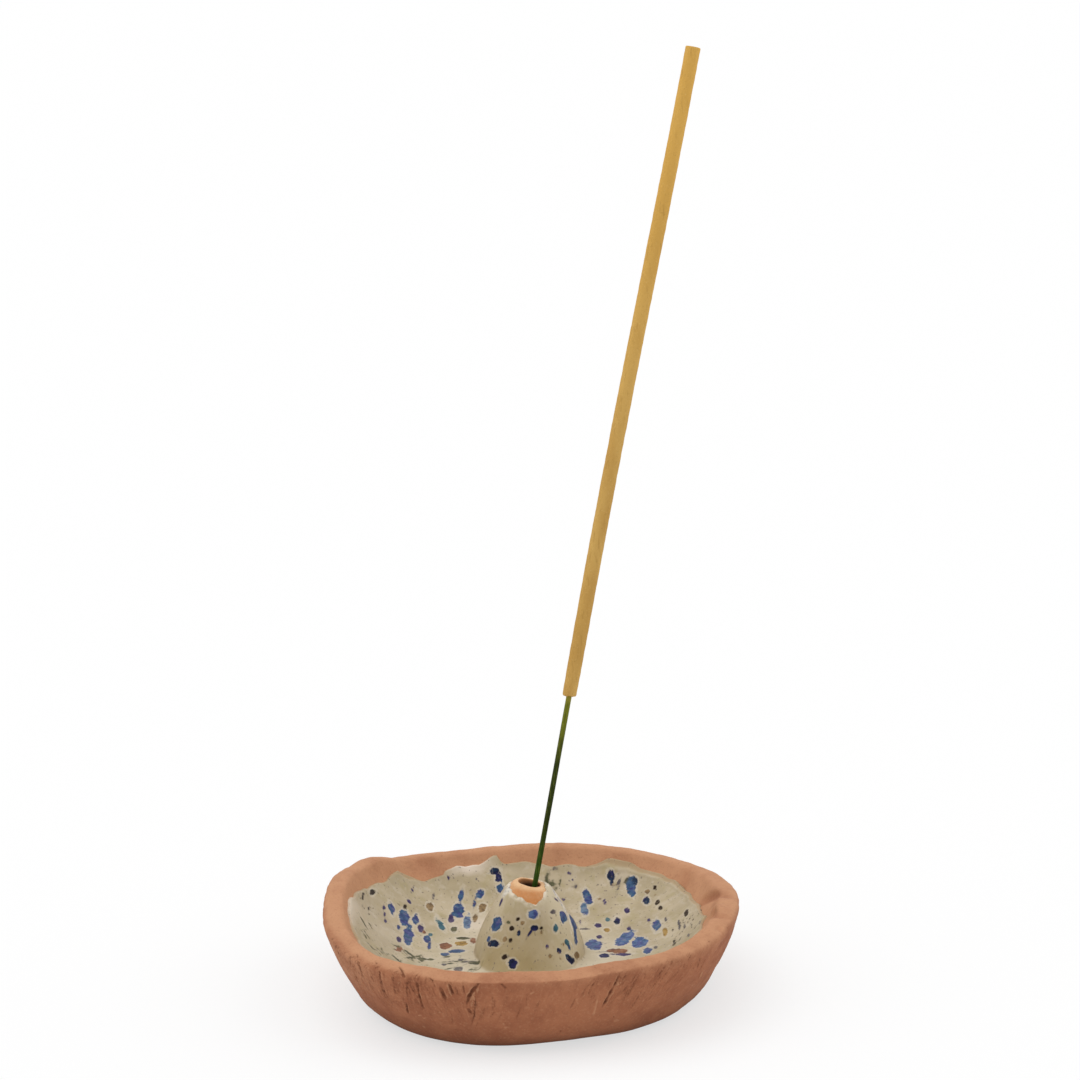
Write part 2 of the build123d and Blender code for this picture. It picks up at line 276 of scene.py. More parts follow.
def soften(piece, weights, times, name):
    """Smooths a piece where its weights are 1, as a wet finger does."""
    weigh(piece, weights, name)
    smooth = piece.modifiers.new(name, "SMOOTH")
    smooth.vertex_group = name
    smooth.iterations = times
    bpy.ops.object.modifier_apply(modifier=name)
    piece.vertex_groups.clear()


def press_lumps(piece, weights, size, strength, name):
    """Presses soft lumps of about that size into a piece where its weights are 1."""
    weigh(piece, weights, name)
    lumps = bpy.data.textures.new(name, "CLOUDS")
    lumps.noise_scale = size * MM
    lumps.noise_depth = 2
    displace = piece.modifiers.new(name, "DISPLACE")
    displace.texture = lumps
    displace.texture_coords = "LOCAL"
    displace.vertex_group = name
    displace.mid_level = 0.5
    displace.strength = strength * MM
    bpy.ops.object.modifier_apply(modifier=name)
    piece.vertex_groups.clear()


DISH_SEGMENTS = 800
# Rings of the ball, and how far up the skin each comes to lie
DISH_RINGS = (0, 2, 12, 78, 104, 114, 118, 120)
DISH_RING_UPS = (0, 1, 2, 3, 4, 4.35, 5, 6)
# How far the rings' vertices are crowded to the front
FRONT_CROWDING = 0.45

dish, dish_azimuth, dish_up = begin_ball("pinched_dish", DISH_SEGMENTS, DISH_RINGS, DISH_RING_UPS)
dish_azimuth -= np.degrees(FRONT_CROWDING * np.sin(np.radians(dish_azimuth + 90)))
place_vertices(dish.data, dish_skin(dish_azimuth, dish_up))

# Finer scratches, which lean with the tool: how many, half width, depth, between which azimuths,
# where they may start and how far they may run
rng = np.random.default_rng(41)
SCRATCHES = (
    (54, 0.37, 0.3, (209, 245), (2.8, 3.38), (0.2, 0.75)),
    (16, 0.32, 0.26, (245, 263), (2.5, 2.95), (0.12, 0.5)),
    (40, 0.29, 0.23, (287, 333), (2.7, 3.15), (0.12, 0.55)),
    (12, 0.22, 0.18, (263, 287), (2.4, 3.0), (0.12, 0.55)),
    (60, 0.75, 0.16, (-27, 204), (2.5, 3.2), (0.2, 0.6)),
    (30, 0.9, 0.36, (-24, 200), (2.6, 3.3), (0.25, 0.8)),
)
# How unsteady they are in lean and at their middle, in degrees, and the least share of width and depth
LEAN_SPREAD, BEND_SPREAD, LEAST_WIDTH, LEAST_DEPTH = 3, 0.3, 0.65, 0.3
# The tool's drift round the dish at some azimuths, in degrees
LEAN_AZIMUTHS, LEANS = (200, 215, 226, 238, 245, 252, 258, 330, 360), (4, 8, 4, 4, -1, -1, 7, 8, 0)


def tool_lean(azimuth):
    """How far a mark drifts round the dish, in degrees, from the lip down to the foot."""
    return np.interp(np.mod(azimuth, 360), LEAN_AZIMUTHS, LEANS)


scratches = []
for count, width, depth, azimuths, tops, runs in SCRATCHES:
    for azimuth in rng.uniform(*azimuths, count):
        top, run = rng.uniform(*tops), rng.uniform(*runs)
        lean = run * (tool_lean(azimuth) + rng.normal(0, LEAN_SPREAD))
        middle = (azimuth - lean / 2 + rng.normal(0, BEND_SPREAD), top - run / 2)
        places = ((azimuth, top), middle, (azimuth - lean, top - run))
        scratches.append((width * rng.uniform(LEAST_WIDTH, 1), depth * rng.uniform(LEAST_DEPTH, 1), places))

# Dents and folds that a finger left across the lip: half width, depth, and the places that each runs through
DENTS = (
    (2.6, 0.95, ((15, 4.15), (9, 4.05), (4, 4), (-1, 3.6))),
    (2.0, 0.75, ((-10, 4.05), (-16, 4), (-19, 3.8), (-18.5, 3.5))),
    (2.0, -0.5, ((-8, 4.05), (-13, 3.65))), (1.3, 0.45, ((-26, 3.45), (-27.5, 3.4))),
    (2.2, -0.4, ((28.5, 4.05), (24, 4.15))), (3.2, 0.6, ((36, 4), (33, 4.2))),
    (5.0, 0.5, ((127, 4), (129, 4.05))), (5.0, 0.3, ((261, 3.3), (263, 3.3))),
)

# How a dent fades along its way, between where the wall takes marks, and the least cut that keeps clay off it
DENT_FADE, MARKED_FROM, MARKED_TO, LEAST_CUT = 1.6, 1.6, 3.8, 0.02
LIP_SOFT_TIMES = 16

soften(dish, band(dish_up, (3.7, 3.9, 4.12, 4.3)), LIP_SOFT_TIMES, "lip_edge")
skin = vertex_values(dish.data) / MM
on_wall = (dish_up > MARKED_FROM) & (dish_up < MARKED_TO)
gouged, raised = np.zeros(len(skin)), np.zeros(len(skin))
tool_rng = np.random.default_rng(7)
cuts = GOUGES + short_marks(*TICKS) + short_marks(*CHIPS) + tuple(scratches)
gouged[on_wall], raised[on_wall] = strokes(skin[on_wall], cuts, tool_rng)
raised[on_wall] += strokes(skin[on_wall], RIDGES + short_marks(*CRUMBS), tool_rng)[0]
dented = np.zeros(len(skin))
for width, depth, places in DENTS:
    off, along = nearest(skin, dish_skin(*np.array(places, dtype=float).T))
    dented += depth * groove(off, width) * np.minimum(1, DENT_FADE - along)
standing = np.where(gouged > LEAST_CUT, 0, raised)
relief = standing - gouged - dented
place_vertices(dish.data, skin + vertex_values(dish.data, "normal") * relief[:, None])
mark(dish.data, "gouge", gouged)
mark(dish.data, "ridge", standing)

# Where the lip is paler, partly rubbed by hands and partly painted light from above, where that starts higher
# up, and where painted light pales the left wall: azimuth, spread, strength or rise
LIP_RUB_AND_LIGHT, LIP_RUBS_AND_LIGHTS = 0.8, ((190, 70, 0.25), (20, 60, 0.1), (85, 80, 0.15), (270, 60, -0.12), (340, 45, 0.12))
PALE_DELAYS, WALL_PAINTED_LIGHTS = ((214, 45, 0.24),), ((212, 34, 0.65),)
# How much painted shade darkens a dent against that paleness, and the painted shade near the table
DENT_PAINTED_SHADE = 0.45
FOOT_SHADE_UPS, FOOT_SHADE = (1.38, 1.52, 1.92, 2.2), (1, 0.45, 0.14, 0)
pale_start = humps(dish_azimuth, PALE_DELAYS)
rub_and_light = np.interp(dish_up - pale_start, (2.72, 3.3), (0, 1)) * (LIP_RUB_AND_LIGHT + humps(dish_azimuth, LIP_RUBS_AND_LIGHTS))
rub_and_light = np.maximum(rub_and_light, humps(dish_azimuth, WALL_PAINTED_LIGHTS) * np.interp(dish_up, (2.0, 2.7), (0, 1)))
mark(dish.data, "pale_rub_and_light", rub_and_light - DENT_PAINTED_SHADE * np.maximum(0, dented))
mark(dish.data, "foot_and_hole_shade", np.interp(dish_up, FOOT_SHADE_UPS, FOOT_SHADE))

# Where the tool dragged the clay into fine lines, and places drawn out along its way, for the finish
DRAGS = ((232, 34, 1.0), (306, 28, 0.75), (270, 30, 0.3), (30, 70, 0.6), (140, 70, 0.6))
DRAG_DRAWN_OUT = 1.6
mark(dish.data, "drag", humps(dish_azimuth, DRAGS) * band(dish_up, (2.05, 2.6, 3.2, 3.5)))
drag_azimuth = dish_azimuth - tool_lean(dish_azimuth) * (dish_up - 3)
drag_way = turned(drag_azimuth, RIM_RADIUS, DRAG_DRAWN_OUT * dish_up)
mark(dish.data, "drag_way", drag_way * MM, "FLOAT_VECTOR", "vector")

# How freely the clay is lumped: not on its flat foot, and hardly under the glaze
clay_freedom = np.interp(dish_up, (1.2, 1.7, 2.4, 3.0, 4.0, 4.35), (0, 0.45, 0.55, 1, 1, 0))
press_lumps(dish, clay_freedom, 13, 0.9, "finger_lumps")
press_lumps(dish, clay_freedom, 3.2, 0.3, "clay_lumps")
bpy.ops.object.shade_smooth()


class Paint:
    """A value among a material's nodes: sums and products of it add Math nodes."""

    def __init__(self, tree, socket=None):
        self.tree, self.socket = tree, socket

    def node(self, kind, settings=None, sockets=None, output=0):
        """Adds a node: its settings first, then the values or links of its sockets."""
        made = self.tree.nodes.new(kind)
        for name, value in (settings or {}).items():
            setattr(made, name, value)
        for name, value in (sockets or {}).items():
            if isinstance(value, Paint):
                self.tree.links.new(value.socket, made.inputs[name])
            else:
                made.inputs[name].default_value = value
        return Paint(self.tree, made.outputs[output] if made.outputs else None)

    def maths(self, operation, first, second):
        return self.node("ShaderNodeMath", {"operation": operation}, {0: first, 1: second})

    def __add__(self, other):
        return self.maths("ADD", self, other)

    def __sub__(self, other):
        return self.maths("SUBTRACT", self, other)

    def __rsub__(self, other):
        return self.maths("SUBTRACT", other, self)

    def __mul__(self, other):
        return self.maths("MULTIPLY", self, other)

    __radd__, __rmul__ = __add__, __mul__

    def rise(self, low, high):
        """0 up to low and 1 from high on, eased between them."""
        return self.node("ShaderNodeMapRange", {"interpolation_type": "SMOOTHSTEP"},
                         {"Value": self, "From Min": low, "From Max": high})

    def tint(self, under, over):
        """A colour that goes from under, where this is 0, to over, where it is 1."""
        return self.node("ShaderNodeMix", {"data_type": "RGBA"}, {0: self, 6: under, 7: over}, output=2)


def shade(red, green, blue):
    """A colour as a paint shop writes it, 0 to 255, for a shader."""
    parts = np.array((red, green, blue)) / 255
    linear = np.where(parts <= 0.04045, parts / 12.92, ((parts + 0.055) / 1.055) ** 2.4)
    return (*linear.tolist(), 1.0)


def begin_finish(name):
    """A new material with no nodes, and a brush for it."""
    material = bpy.data.materials.new(name)
    material.use_nodes = True
    material.node_tree.nodes.clear()
    return material, Paint(material.node_tree)


def end_finish(brush, colour, roughness, shine, relief, strength, height):
    """Gives a finish its shader, with a relief of that height in metres."""
    normal = brush.node("ShaderNodeBump", {}, {"Height": relief, "Strength": strength, "Distance": height})
    shader = brush.node("ShaderNodeBsdfPrincipled", {}, {
        "Base Color": colour, "Roughness": roughness, "Normal": normal, "Specular IOR Level": shine})
    brush.node("ShaderNodeOutputMaterial", {}, {"Surface": shader})


def grain(brush, where, scale, detail=2.0, roughness=0.5):
    """Soft noise, with that many grains in a metre."""
    return brush.node("ShaderNodeTexNoise", {},
                      {"Vector": where, "Scale": scale, "Detail": detail, "Roughness": roughness})


def stretched(brush, where, stretch):
    """Places drawn out along some axes, so that a pattern runs that way."""
    return brush.node("ShaderNodeVectorMath", {"operation": "MULTIPLY"}, {0: where, 1: stretch})


def kept(brush, name):
    """A number that the mesh keeps for each vertex."""
    return brush.node("ShaderNodeAttribute", {"attribute_name": name}, output=2)


def layered(colour, layers):
    """Lays colours over one another, each where and as strongly as the value with it says."""
    for shown, over in layers:
        colour = shown.tint(colour, over)
    return colour


def earthenware(name, dark, middle, pale, roughness):
    """Fired red clay: mottled, with drag lines, a little grit, and paler dust where it is rubbed. Painted
    light pales its lip and crest; painted shade darkens its tool marks, dents, hole and foot; a painted
    highlight edges the marks.
    """
    material, brush = begin_finish(name)
    where = brush.node("ShaderNodeTexCoord", output=3)
    broad = grain(brush, where, 55, 2)
    mottle = grain(brush, where, 210, 4, 0.62)
    fine = grain(brush, where, 1500, 3, 0.6)
    grit = grain(brush, where, 1300, 1)
    chip = grain(brush, where, 400, 1)
    way = brush.node("ShaderNodeAttribute", {"attribute_name": "drag_way"}, output=1)
    line = grain(brush, way, 1700, 2, 0.6)
    broken = grain(brush, where, 620, 2, 0.6)
    drag = kept(brush, "drag")
    gouge = kept(brush, "gouge")
    # Paler for rubbed dust and for painted light on the lip, the boss's crest and the left wall; painted
    # shade in dents
    dust_and_light = kept(brush, "pale_rub_and_light") * (0.15 + 0.8 * mottle + 0.9 * broad)
    dashed = drag * broken.rise(0.44, 0.58)
    # Painted shade in the tool marks: darker where they cut deep
    gouge_shade = (gouge + (fine - 0.5) * 0.25).rise(0.02, 0.24) * gouge.rise(0.02, 0.07)
    colour = layered((broad * 0.5 + mottle * 0.5).rise(0.38, 0.62).tint(dark, middle), (
        (dust_and_light.rise(0.1, 1.1) * 0.95, pale),
        (fine.rise(0.52, 0.7) * 0.22, dark),
        (fine.rise(0.48, 0.32) * 0.2, pale),
        (dashed * line.rise(0.53, 0.63) * 0.5, shade(114, 66, 45)),
        (dashed * line.rise(0.46, 0.34) * 0.25, shade(200, 148, 114)),
        # Pale chips, and a painted highlight on the clay standing beside the tool marks
        (chip.rise(0.74, 0.79) * 0.35 + kept(brush, "ridge").rise(0.03, 0.16) * 0.5, pale),
        (grit.rise(0.69, 0.76) * 0.22, shade(104, 62, 44)),
        (gouge_shade * (0.45 + 0.4 * broken.rise(0.4, 0.6)), shade(98, 56, 38)),
        # Painted shade: darker clay at the foot near the table and down into the boss's hole
        (kept(brush, "foot_and_hole_shade") * (0.5 + 0.7 * mottle), shade(52, 32, 24)),
    ))
    relief = fine * 0.45 + mottle * 0.4 + dashed * line * 0.5
    end_finish(brush, colour, roughness - 0.12 * fine, 0.15, relief, 0.8, 0.00035)
    return material


DISH_CLAY = earthenware("terracotta", shade(150, 94, 67), shade(168, 110, 79), shade(196, 146, 111), 0.9)
dish.data.materials.append(DISH_CLAY)
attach(dish, "dish")
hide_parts("clay_dish")

# The slip: clay thinned with water to a paste, laid on the scored floor to stick the boss down.
# The boss and the glaze hide it, so the solid itself stays and only gets its finish.
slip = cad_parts["joining_slip"]
slip.data.materials.clear()
slip.data.materials.append(
    earthenware("slip_clay", shade(150, 92, 66), shade(170, 110, 80), shade(190, 140, 105), 0.95))

# The boss: a lump of the same clay, rounded by hand, stuck down in the middle of the dish and
# pierced from above while soft with the blind hole that the stick leans in.
BOSS_BASE = 9.1
BOSS_RADIUS, BOSS_HEIGHT, BOSS_FULLNESS = 13.5, 18.4, 1.6
BOSS_WAVES = ((0.35, 2, 20),)
# Where its foot spreads over the floor: azimuth, spread in degrees, reach, and how fast that fades upwards
BOSS_SPREADS, SPREAD_FADE = ((238, 36, 4.2), (270, 42, 3.2), (302, 34, 3.0)), 4
CREST_RADIUS, CREST_ROUND, CREST_START = 5.0, 2.4, 36.0
BOSS_TILT, CREST_TILT = np.tan(np.radians(6)), np.tan(np.radians(12))
BORE_RADIUS, BORE_FLOOR = 2.55, 12.5
MOUTH_DEPTH = 1.2
# The crest's rise as a share of the side's
CREST_SHARE = 0.12


def boss_crest(azimuth, share, coat=0.0):
    """Radius and height on the boss's crest, from its side at share 0 to the hole's rim at 1, on a coat."""
    start = np.radians(CREST_START)
    turn = start + share * (np.pi / 2 - start)
    radius = CREST_RADIUS - CREST_ROUND * (np.cos(start) - np.cos(turn))
    lean = BOSS_TILT + share * (CREST_TILT - BOSS_TILT)
    height = BOSS_BASE + BOSS_HEIGHT + CREST_ROUND * (np.sin(turn) - np.sin(start))
    height = height - radius * lean * np.cos(np.radians(azimuth))
    return radius + coat * np.cos(turn), height + coat * np.sin(turn)


def boss_side(azimuth, share, coat=0.0):
    """Points on the boss's side, from its base at share 0 to its crest at share 1, and on over the crest,
    on a coat."""
    base = BOSS_RADIUS + waves(azimuth, BOSS_WAVES)
    low = np.minimum(share, 1)
    slope = (base - CREST_RADIUS) * BOSS_FULLNESS * low ** (BOSS_FULLNESS - 1) / BOSS_HEIGHT
    radius = base - (base - CREST_RADIUS) * low ** BOSS_FULLNESS + coat / np.hypot(1, slope)
    radius = radius + humps(azimuth, BOSS_SPREADS) * (1 - low) ** SPREAD_FADE
    height = BOSS_BASE + low * BOSS_HEIGHT + coat * slope / np.hypot(1, slope)
    height = height - radius * low ** 2 * BOSS_TILT * np.cos(np.radians(azimuth))
    over_radius, over_height = boss_crest(azimuth, np.clip((share - 1) / CREST_SHARE, 0, 1), coat)
    return turned(azimuth, np.where(share > 1, over_radius, radius), np.where(share > 1, over_height, height))


def boss_skin(azimuth, up):
    """Points on the boss's skin. up goes over its base (0 to 1), its side, its crest, the flare of the hole,
    the hole's wall and the hole's floor (5 to 6)."""
    stages, share = staged(up, 6)
    side = boss_side(azimuth, share)
    crest_radius, crest_height = boss_crest(azimuth, share)
    rim_radius, rim_height = boss_crest(azimuth, 1 + 0 * share)
    neck = BOSS_BASE + BOSS_HEIGHT + CREST_ROUND * (1 - np.sin(np.radians(CREST_START))) - MOUTH_DEPTH
    base_radius = BOSS_RADIUS + waves(azimuth, BOSS_WAVES) + humps(azimuth, BOSS_SPREADS)
    radius = np.select(stages, [
        base_radius * share, np.hypot(side[..., 0], side[..., 1]), crest_radius,
        rim_radius - share * (rim_radius - BORE_RADIUS), BORE_RADIUS + 0 * share, BORE_RADIUS * (1 - share)])
    height = np.select(stages, [
        BOSS_BASE + 0 * share, side[..., 2], crest_height,
        neck + (rim_height - neck - MOUTH_DEPTH) * (1 - share) + (1 - share ** 2) * MOUTH_DEPTH,
        neck - share * (neck - BORE_FLOOR), BORE_FLOOR + 0 * share])
    return turned(azimuth, radius, height)


BOSS_SEGMENTS = 240
BOSS_STAGE_RINGS = (0, 3, 60, 84, 94, 112, 116)

boss, boss_azimuth, boss_up = begin_ball(
    "clay_lump", BOSS_SEGMENTS, BOSS_STAGE_RINGS, range(len(BOSS_STAGE_RINGS)))
place_vertices(boss.data, boss_skin(boss_azimuth, boss_up))
press_lumps(boss, band(boss_up, (1.8, 2.1, 2.8, 3.3)), 3.5, 0.45, "crest_lumps")
# Paler towards the crest, partly rubbed and partly painted light from above
mark(boss.data, "pale_rub_and_light", np.interp(boss_up, (1.7, 2.6, 3.0, 3.5), (0.3, 1, 1, 0)))
# Painted shade: darker clay from the crest down into the hole
mark(boss.data, "foot_and_hole_shade", np.interp(boss_up, (3.0, 4.05), (0, 1)))
bpy.ops.object.shade_smooth()
# The boss's clay is a paler copy of the dish's, for painted light from above and a painted sheen
boss.data.materials.append(
    earthenware("boss_clay", shade(198, 126, 68), shade(206, 152, 106), shade(224, 184, 140), 0.6))
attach(boss, "dish")
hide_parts("clay_boss")

# The glaze: a cream glaze poured into the dish and brushed up the boss, flicked with cobalt and iron,
# and fired. It stops short of the lip and of the boss's crest in a ragged edge, and pools at the boss's foot.
GLAZE_THICKNESS, GLAZE_EDGE_THICKNESS, GLAZE_SUNK = 0.6, 0.3, -0.25
POOL_REACH, POOL_TOP = 1.5, 0.06
# Where the glaze stops below the lip: azimuth, and share of the hollow's side that it leaves bare
GLAZE_STOPS = (
    (0, 0.18), (8, 0.21), (19, 0.2), (30, 0.17), (38, 0.12), (45, 0.12), (53, 0.09), (58, 0.06),
    (64, 0.06), (67, 0.13), (73, 0.17), (77, 0.14), (83, 0.16), (90, 0.12), (99, 0.11), (100.5, 0.08),
    (101.5, 0.015), (103, 0.03), (105, 0.07), (108, 0.11), (110, 0.1), (113, 0.11), (116, 0.09),
    (120, 0.13), (121.5, 0.19), (130, 0.22), (132, 0.2), (136, 0.12), (138, 0.09), (142, 0.12),
    (145, 0.15), (151, 0.14), (162, 0.12), (175, 0.08), (183, 0.05), (192, 0.05), (200, 0.09),
    (207, 0.11), (213, 0.08), (220, 0.12), (229, 0.09), (238, 0.13), (246, 0.1), (255, 0.13),
    (263, 0.09), (272, 0.12), (281, 0.1), (290, 0.14), (299, 0.11), (308, 0.13), (316, 0.12),
    (325, 0.16), (334, 0.17), (343, 0.2), (350, 0.19), (355, 0.21), (357, 0.16),
)
# Where its full coat starts, below a thin run-off
THICK_STARTS = (
    (0, 0.01), (32, 0.04), (42, 0.05), (51, 0.05), (58, 0.08), (62, 0.085), (67, 0.035), (72, 0.008),
    (128, 0.008), (132, 0.02), (136, 0.075), (139, 0.03), (143, 0.008), (360, 0.01),
)
# Where it stops on the boss: azimuth, and share of the boss's side
BOSS_STOPS = (
    (0, 1.075), (20, 1.06), (60, 1.03), (120, 1.02), (190, 1.0), (206, 0.975), (214, 0.96),
    (234, 0.94), (246, 0.925), (257, 0.91), (267, 0.885), (276, 0.86), (283, 0.855), (289, 0.885),
    (299, 0.92), (313, 0.98), (333, 1.035), (347, 1.075),
)
# Small waves of the two edges: reach, lobes in a turn, azimuth of a crest
STOP_JITTER = ((0.006, 23, 5), (0.005, 37, 2), (0.003, 61, 0))
BOSS_JITTER = ((0.005, 11, 3), (0.006, 17, 8))
# The edge in the dish: its run, the least run of the thin coat, how sharply the full coat follows that, and
# the bead between them
EDGE_RUN, LEAST_RUN, FULL_SHARPNESS = 0.006, 0.008, 9
BEAD_HEIGHT, BEAD_PLACE, BEAD_SPREAD, BEAD_RUN, BEAD_LEAST = 0.22, 1.35, 0.3, 0.03, 0.45
# The pool's corner and the run of the upper edge, as shares of the boss's side
POOL_CORNER, BOSS_EDGE_RUN = 0.02, 0.06
# The shares of the way back underneath at which it ends on the boss, leaps to the hollow, and climbs that
UNDER_BOSS, UNDER_LEAP, UNDER_HOLLOW = 0.4375, 0.45, 0.5


def glaze_stop(azimuth):
    """The share of the hollow's side at which the glaze stops."""
    azimuths, bare = np.array(GLAZE_STOPS).T
    return 1 - np.interp(azimuth, azimuths, bare, period=360) - waves(azimuth, STOP_JITTER)


def thin_run(azimuth):
    """How wide the thin run-off is below the stop, as a share of the hollow's side."""
    azimuths, width = np.array(THICK_STARTS).T
    return np.interp(np.mod(azimuth, 360), azimuths, width)


def boss_stop(azimuth):
    """The share of the boss's side at which the glaze stops."""
    azimuths, stops = np.array(BOSS_STOPS).T
    return np.interp(azimuth, azimuths, stops, period=360) - waves(azimuth, BOSS_JITTER)


def glaze_skin(azimuth, along):
    """Points on the glaze. along goes over its edge in the dish (0 to 1), down the hollow's side, over the
    floor, through the pool, up the boss, over its edge there, and back underneath (6 to 7)."""
    stages, share = staged(along, 7)
    stop, high, thin = glaze_stop(azimuth), boss_stop(azimuth), thin_run(azimuth)
    edge_coat = GLAZE_SUNK + share * (GLAZE_EDGE_THICKNESS - GLAZE_SUNK)
    edge = hollow_side(azimuth, stop - EDGE_RUN * share, edge_coat)
    down = (stop - EDGE_RUN) * (1 - share)
    from_stop = (stop - down) / np.maximum(thin, LEAST_RUN)
    full = 1 / (1 + np.exp(-FULL_SHARPNESS * (from_stop - 1)))
    bead = BEAD_HEIGHT * np.exp(-((from_stop - BEAD_PLACE) / BEAD_SPREAD) ** 2)
    bead = bead * np.minimum(1, thin / BEAD_RUN + BEAD_LEAST)
    gain = GLAZE_THICKNESS - GLAZE_EDGE_THICKNESS
    side = hollow_side(azimuth, down, GLAZE_EDGE_THICKNESS + gain * full + bead)
    level = FLOOR_HEIGHT + GLAZE_THICKNESS
    pool_radius = BOSS_RADIUS + POOL_REACH + humps(azimuth, BOSS_SPREADS)
    floor = turned(azimuth, FLOOR_RADIUS + share * (pool_radius - FLOOR_RADIUS), level + 0 * share)
    corner = boss_side(azimuth, POOL_CORNER + 0 * share, GLAZE_THICKNESS)
    corner[..., 2] = level
    start = turned(azimuth, pool_radius, level)
    end = boss_side(azimuth, POOL_TOP + 0 * share, GLAZE_THICKNESS)
    ease = share[..., None]
    pool = (1 - ease) ** 2 * start + 2 * ease * (1 - ease) * corner + ease ** 2 * end
    climb = POOL_TOP + share * (high - POOL_TOP)
    climb_coat = GLAZE_EDGE_THICKNESS + gain * np.minimum(1, (high - climb) / BOSS_EDGE_RUN)
    climb = boss_side(azimuth, climb, climb_coat)
    brow = boss_side(azimuth, high, GLAZE_EDGE_THICKNESS + share * (GLAZE_SUNK - GLAZE_EDGE_THICKNESS))
    on_boss = boss_side(azimuth, high * np.maximum(0, 1 - share / UNDER_BOSS), GLAZE_SUNK)
    up_hollow = np.maximum(0, (share - UNDER_HOLLOW) / (1 - UNDER_HOLLOW))
    in_hollow = hollow_side(azimuth, stop * up_hollow, GLAZE_SUNK)
    under = np.where((share < UNDER_LEAP)[..., None], on_boss, in_hollow)
    forms = [edge, side, floor, pool, climb, brow, under]
    return np.select([inside[..., None] for inside in stages], forms)


# Keeps the first step of a hoop's section from coming out as its last
HAIR = 1e-6


def begin_hoop(name, segments, steps):
    """Adds a hoop. Gives it, each vertex's turn, and how far along the section its step comes to lie."""
    piece = begin_piece(
        bpy.ops.mesh.primitive_torus_add, name, major_segments=segments, minor_segments=steps[-1],
        major_radius=1, minor_radius=0.25)
    hoop = vertex_values(piece.data)
    section = np.arctan2(hoop[:, 2], np.hypot(hoop[:, 0], hoop[:, 1]) - 1) / (2 * np.pi)
    along = np.interp(np.mod(section + HAIR, 1) * steps[-1], steps, range(len(steps)))
    return piece, np.arctan2(hoop[:, 1], hoop[:, 0]), along


def face_outwards():
    """Turns every face of the piece in hand outwards."""
    bpy.ops.object.mode_set(mode="EDIT")
    bpy.ops.mesh.select_all(action="SELECT")
    bpy.ops.mesh.normals_make_consistent(inside=False)
    bpy.ops.object.mode_set(mode="OBJECT")


GLAZE_SEGMENTS = 560
GLAZE_STAGE_STEPS = (0, 4, 84, 102, 112, 150, 154, 170)
# How far the section's vertices are crowded to the back, which the camera sees
BACK_CROWDING = 0.25

glaze, glaze_turn, glaze_along = begin_hoop("poured_glaze", GLAZE_SEGMENTS, GLAZE_STAGE_STEPS)
glaze_azimuth = np.degrees(glaze_turn)
glaze_azimuth -= np.degrees(BACK_CROWDING * np.sin(np.radians(glaze_azimuth - 90)))
place_vertices(glaze.data, glaze_skin(glaze_azimuth, glaze_along))
face_outwards()
glaze.data.update()
near_lip = np.interp(glaze_along, (1, 1.25, 6.8, 7), (1, 0, 0, 1))
press_lumps(glaze, near_lip, 13, 0.9, "finger_lumps")
glaze_freedom = np.interp(glaze_along, (1.02, 1.15, 1.9, 2.6, 4.1, 4.9), (0, 1, 1, 0.5, 0.8, 0))
press_lumps(glaze, glaze_freedom, 6.5, 0.9, "glaze_lumps")
bpy.ops.object.shade_smooth()

# The flicked blots: what stained each, where its middle is (azimuth and share of the hollow's side, radius on
# the floor, or share of the boss's height), and half its length and width. A blot is drawn out towards the
# front, on the boss straight uphill, unless its lean from straight uphill is given.
BLOT_STAINS = {
    "blue": shade(62, 84, 122), "pale": shade(104, 124, 146), "navy": shade(14, 22, 54),
    "sky": shade(84, 106, 146), "violet": shade(66, 54, 92), "teal": shade(62, 100, 110),
    "dark": shade(40, 24, 8), "brown": shade(138, 113, 78), "rust": shade(138, 92, 64),
    "ochre": shade(164, 130, 66), "olive": shade(88, 86, 60), "grey": shade(106, 98, 94),
    "white": shade(216, 208, 192),
}
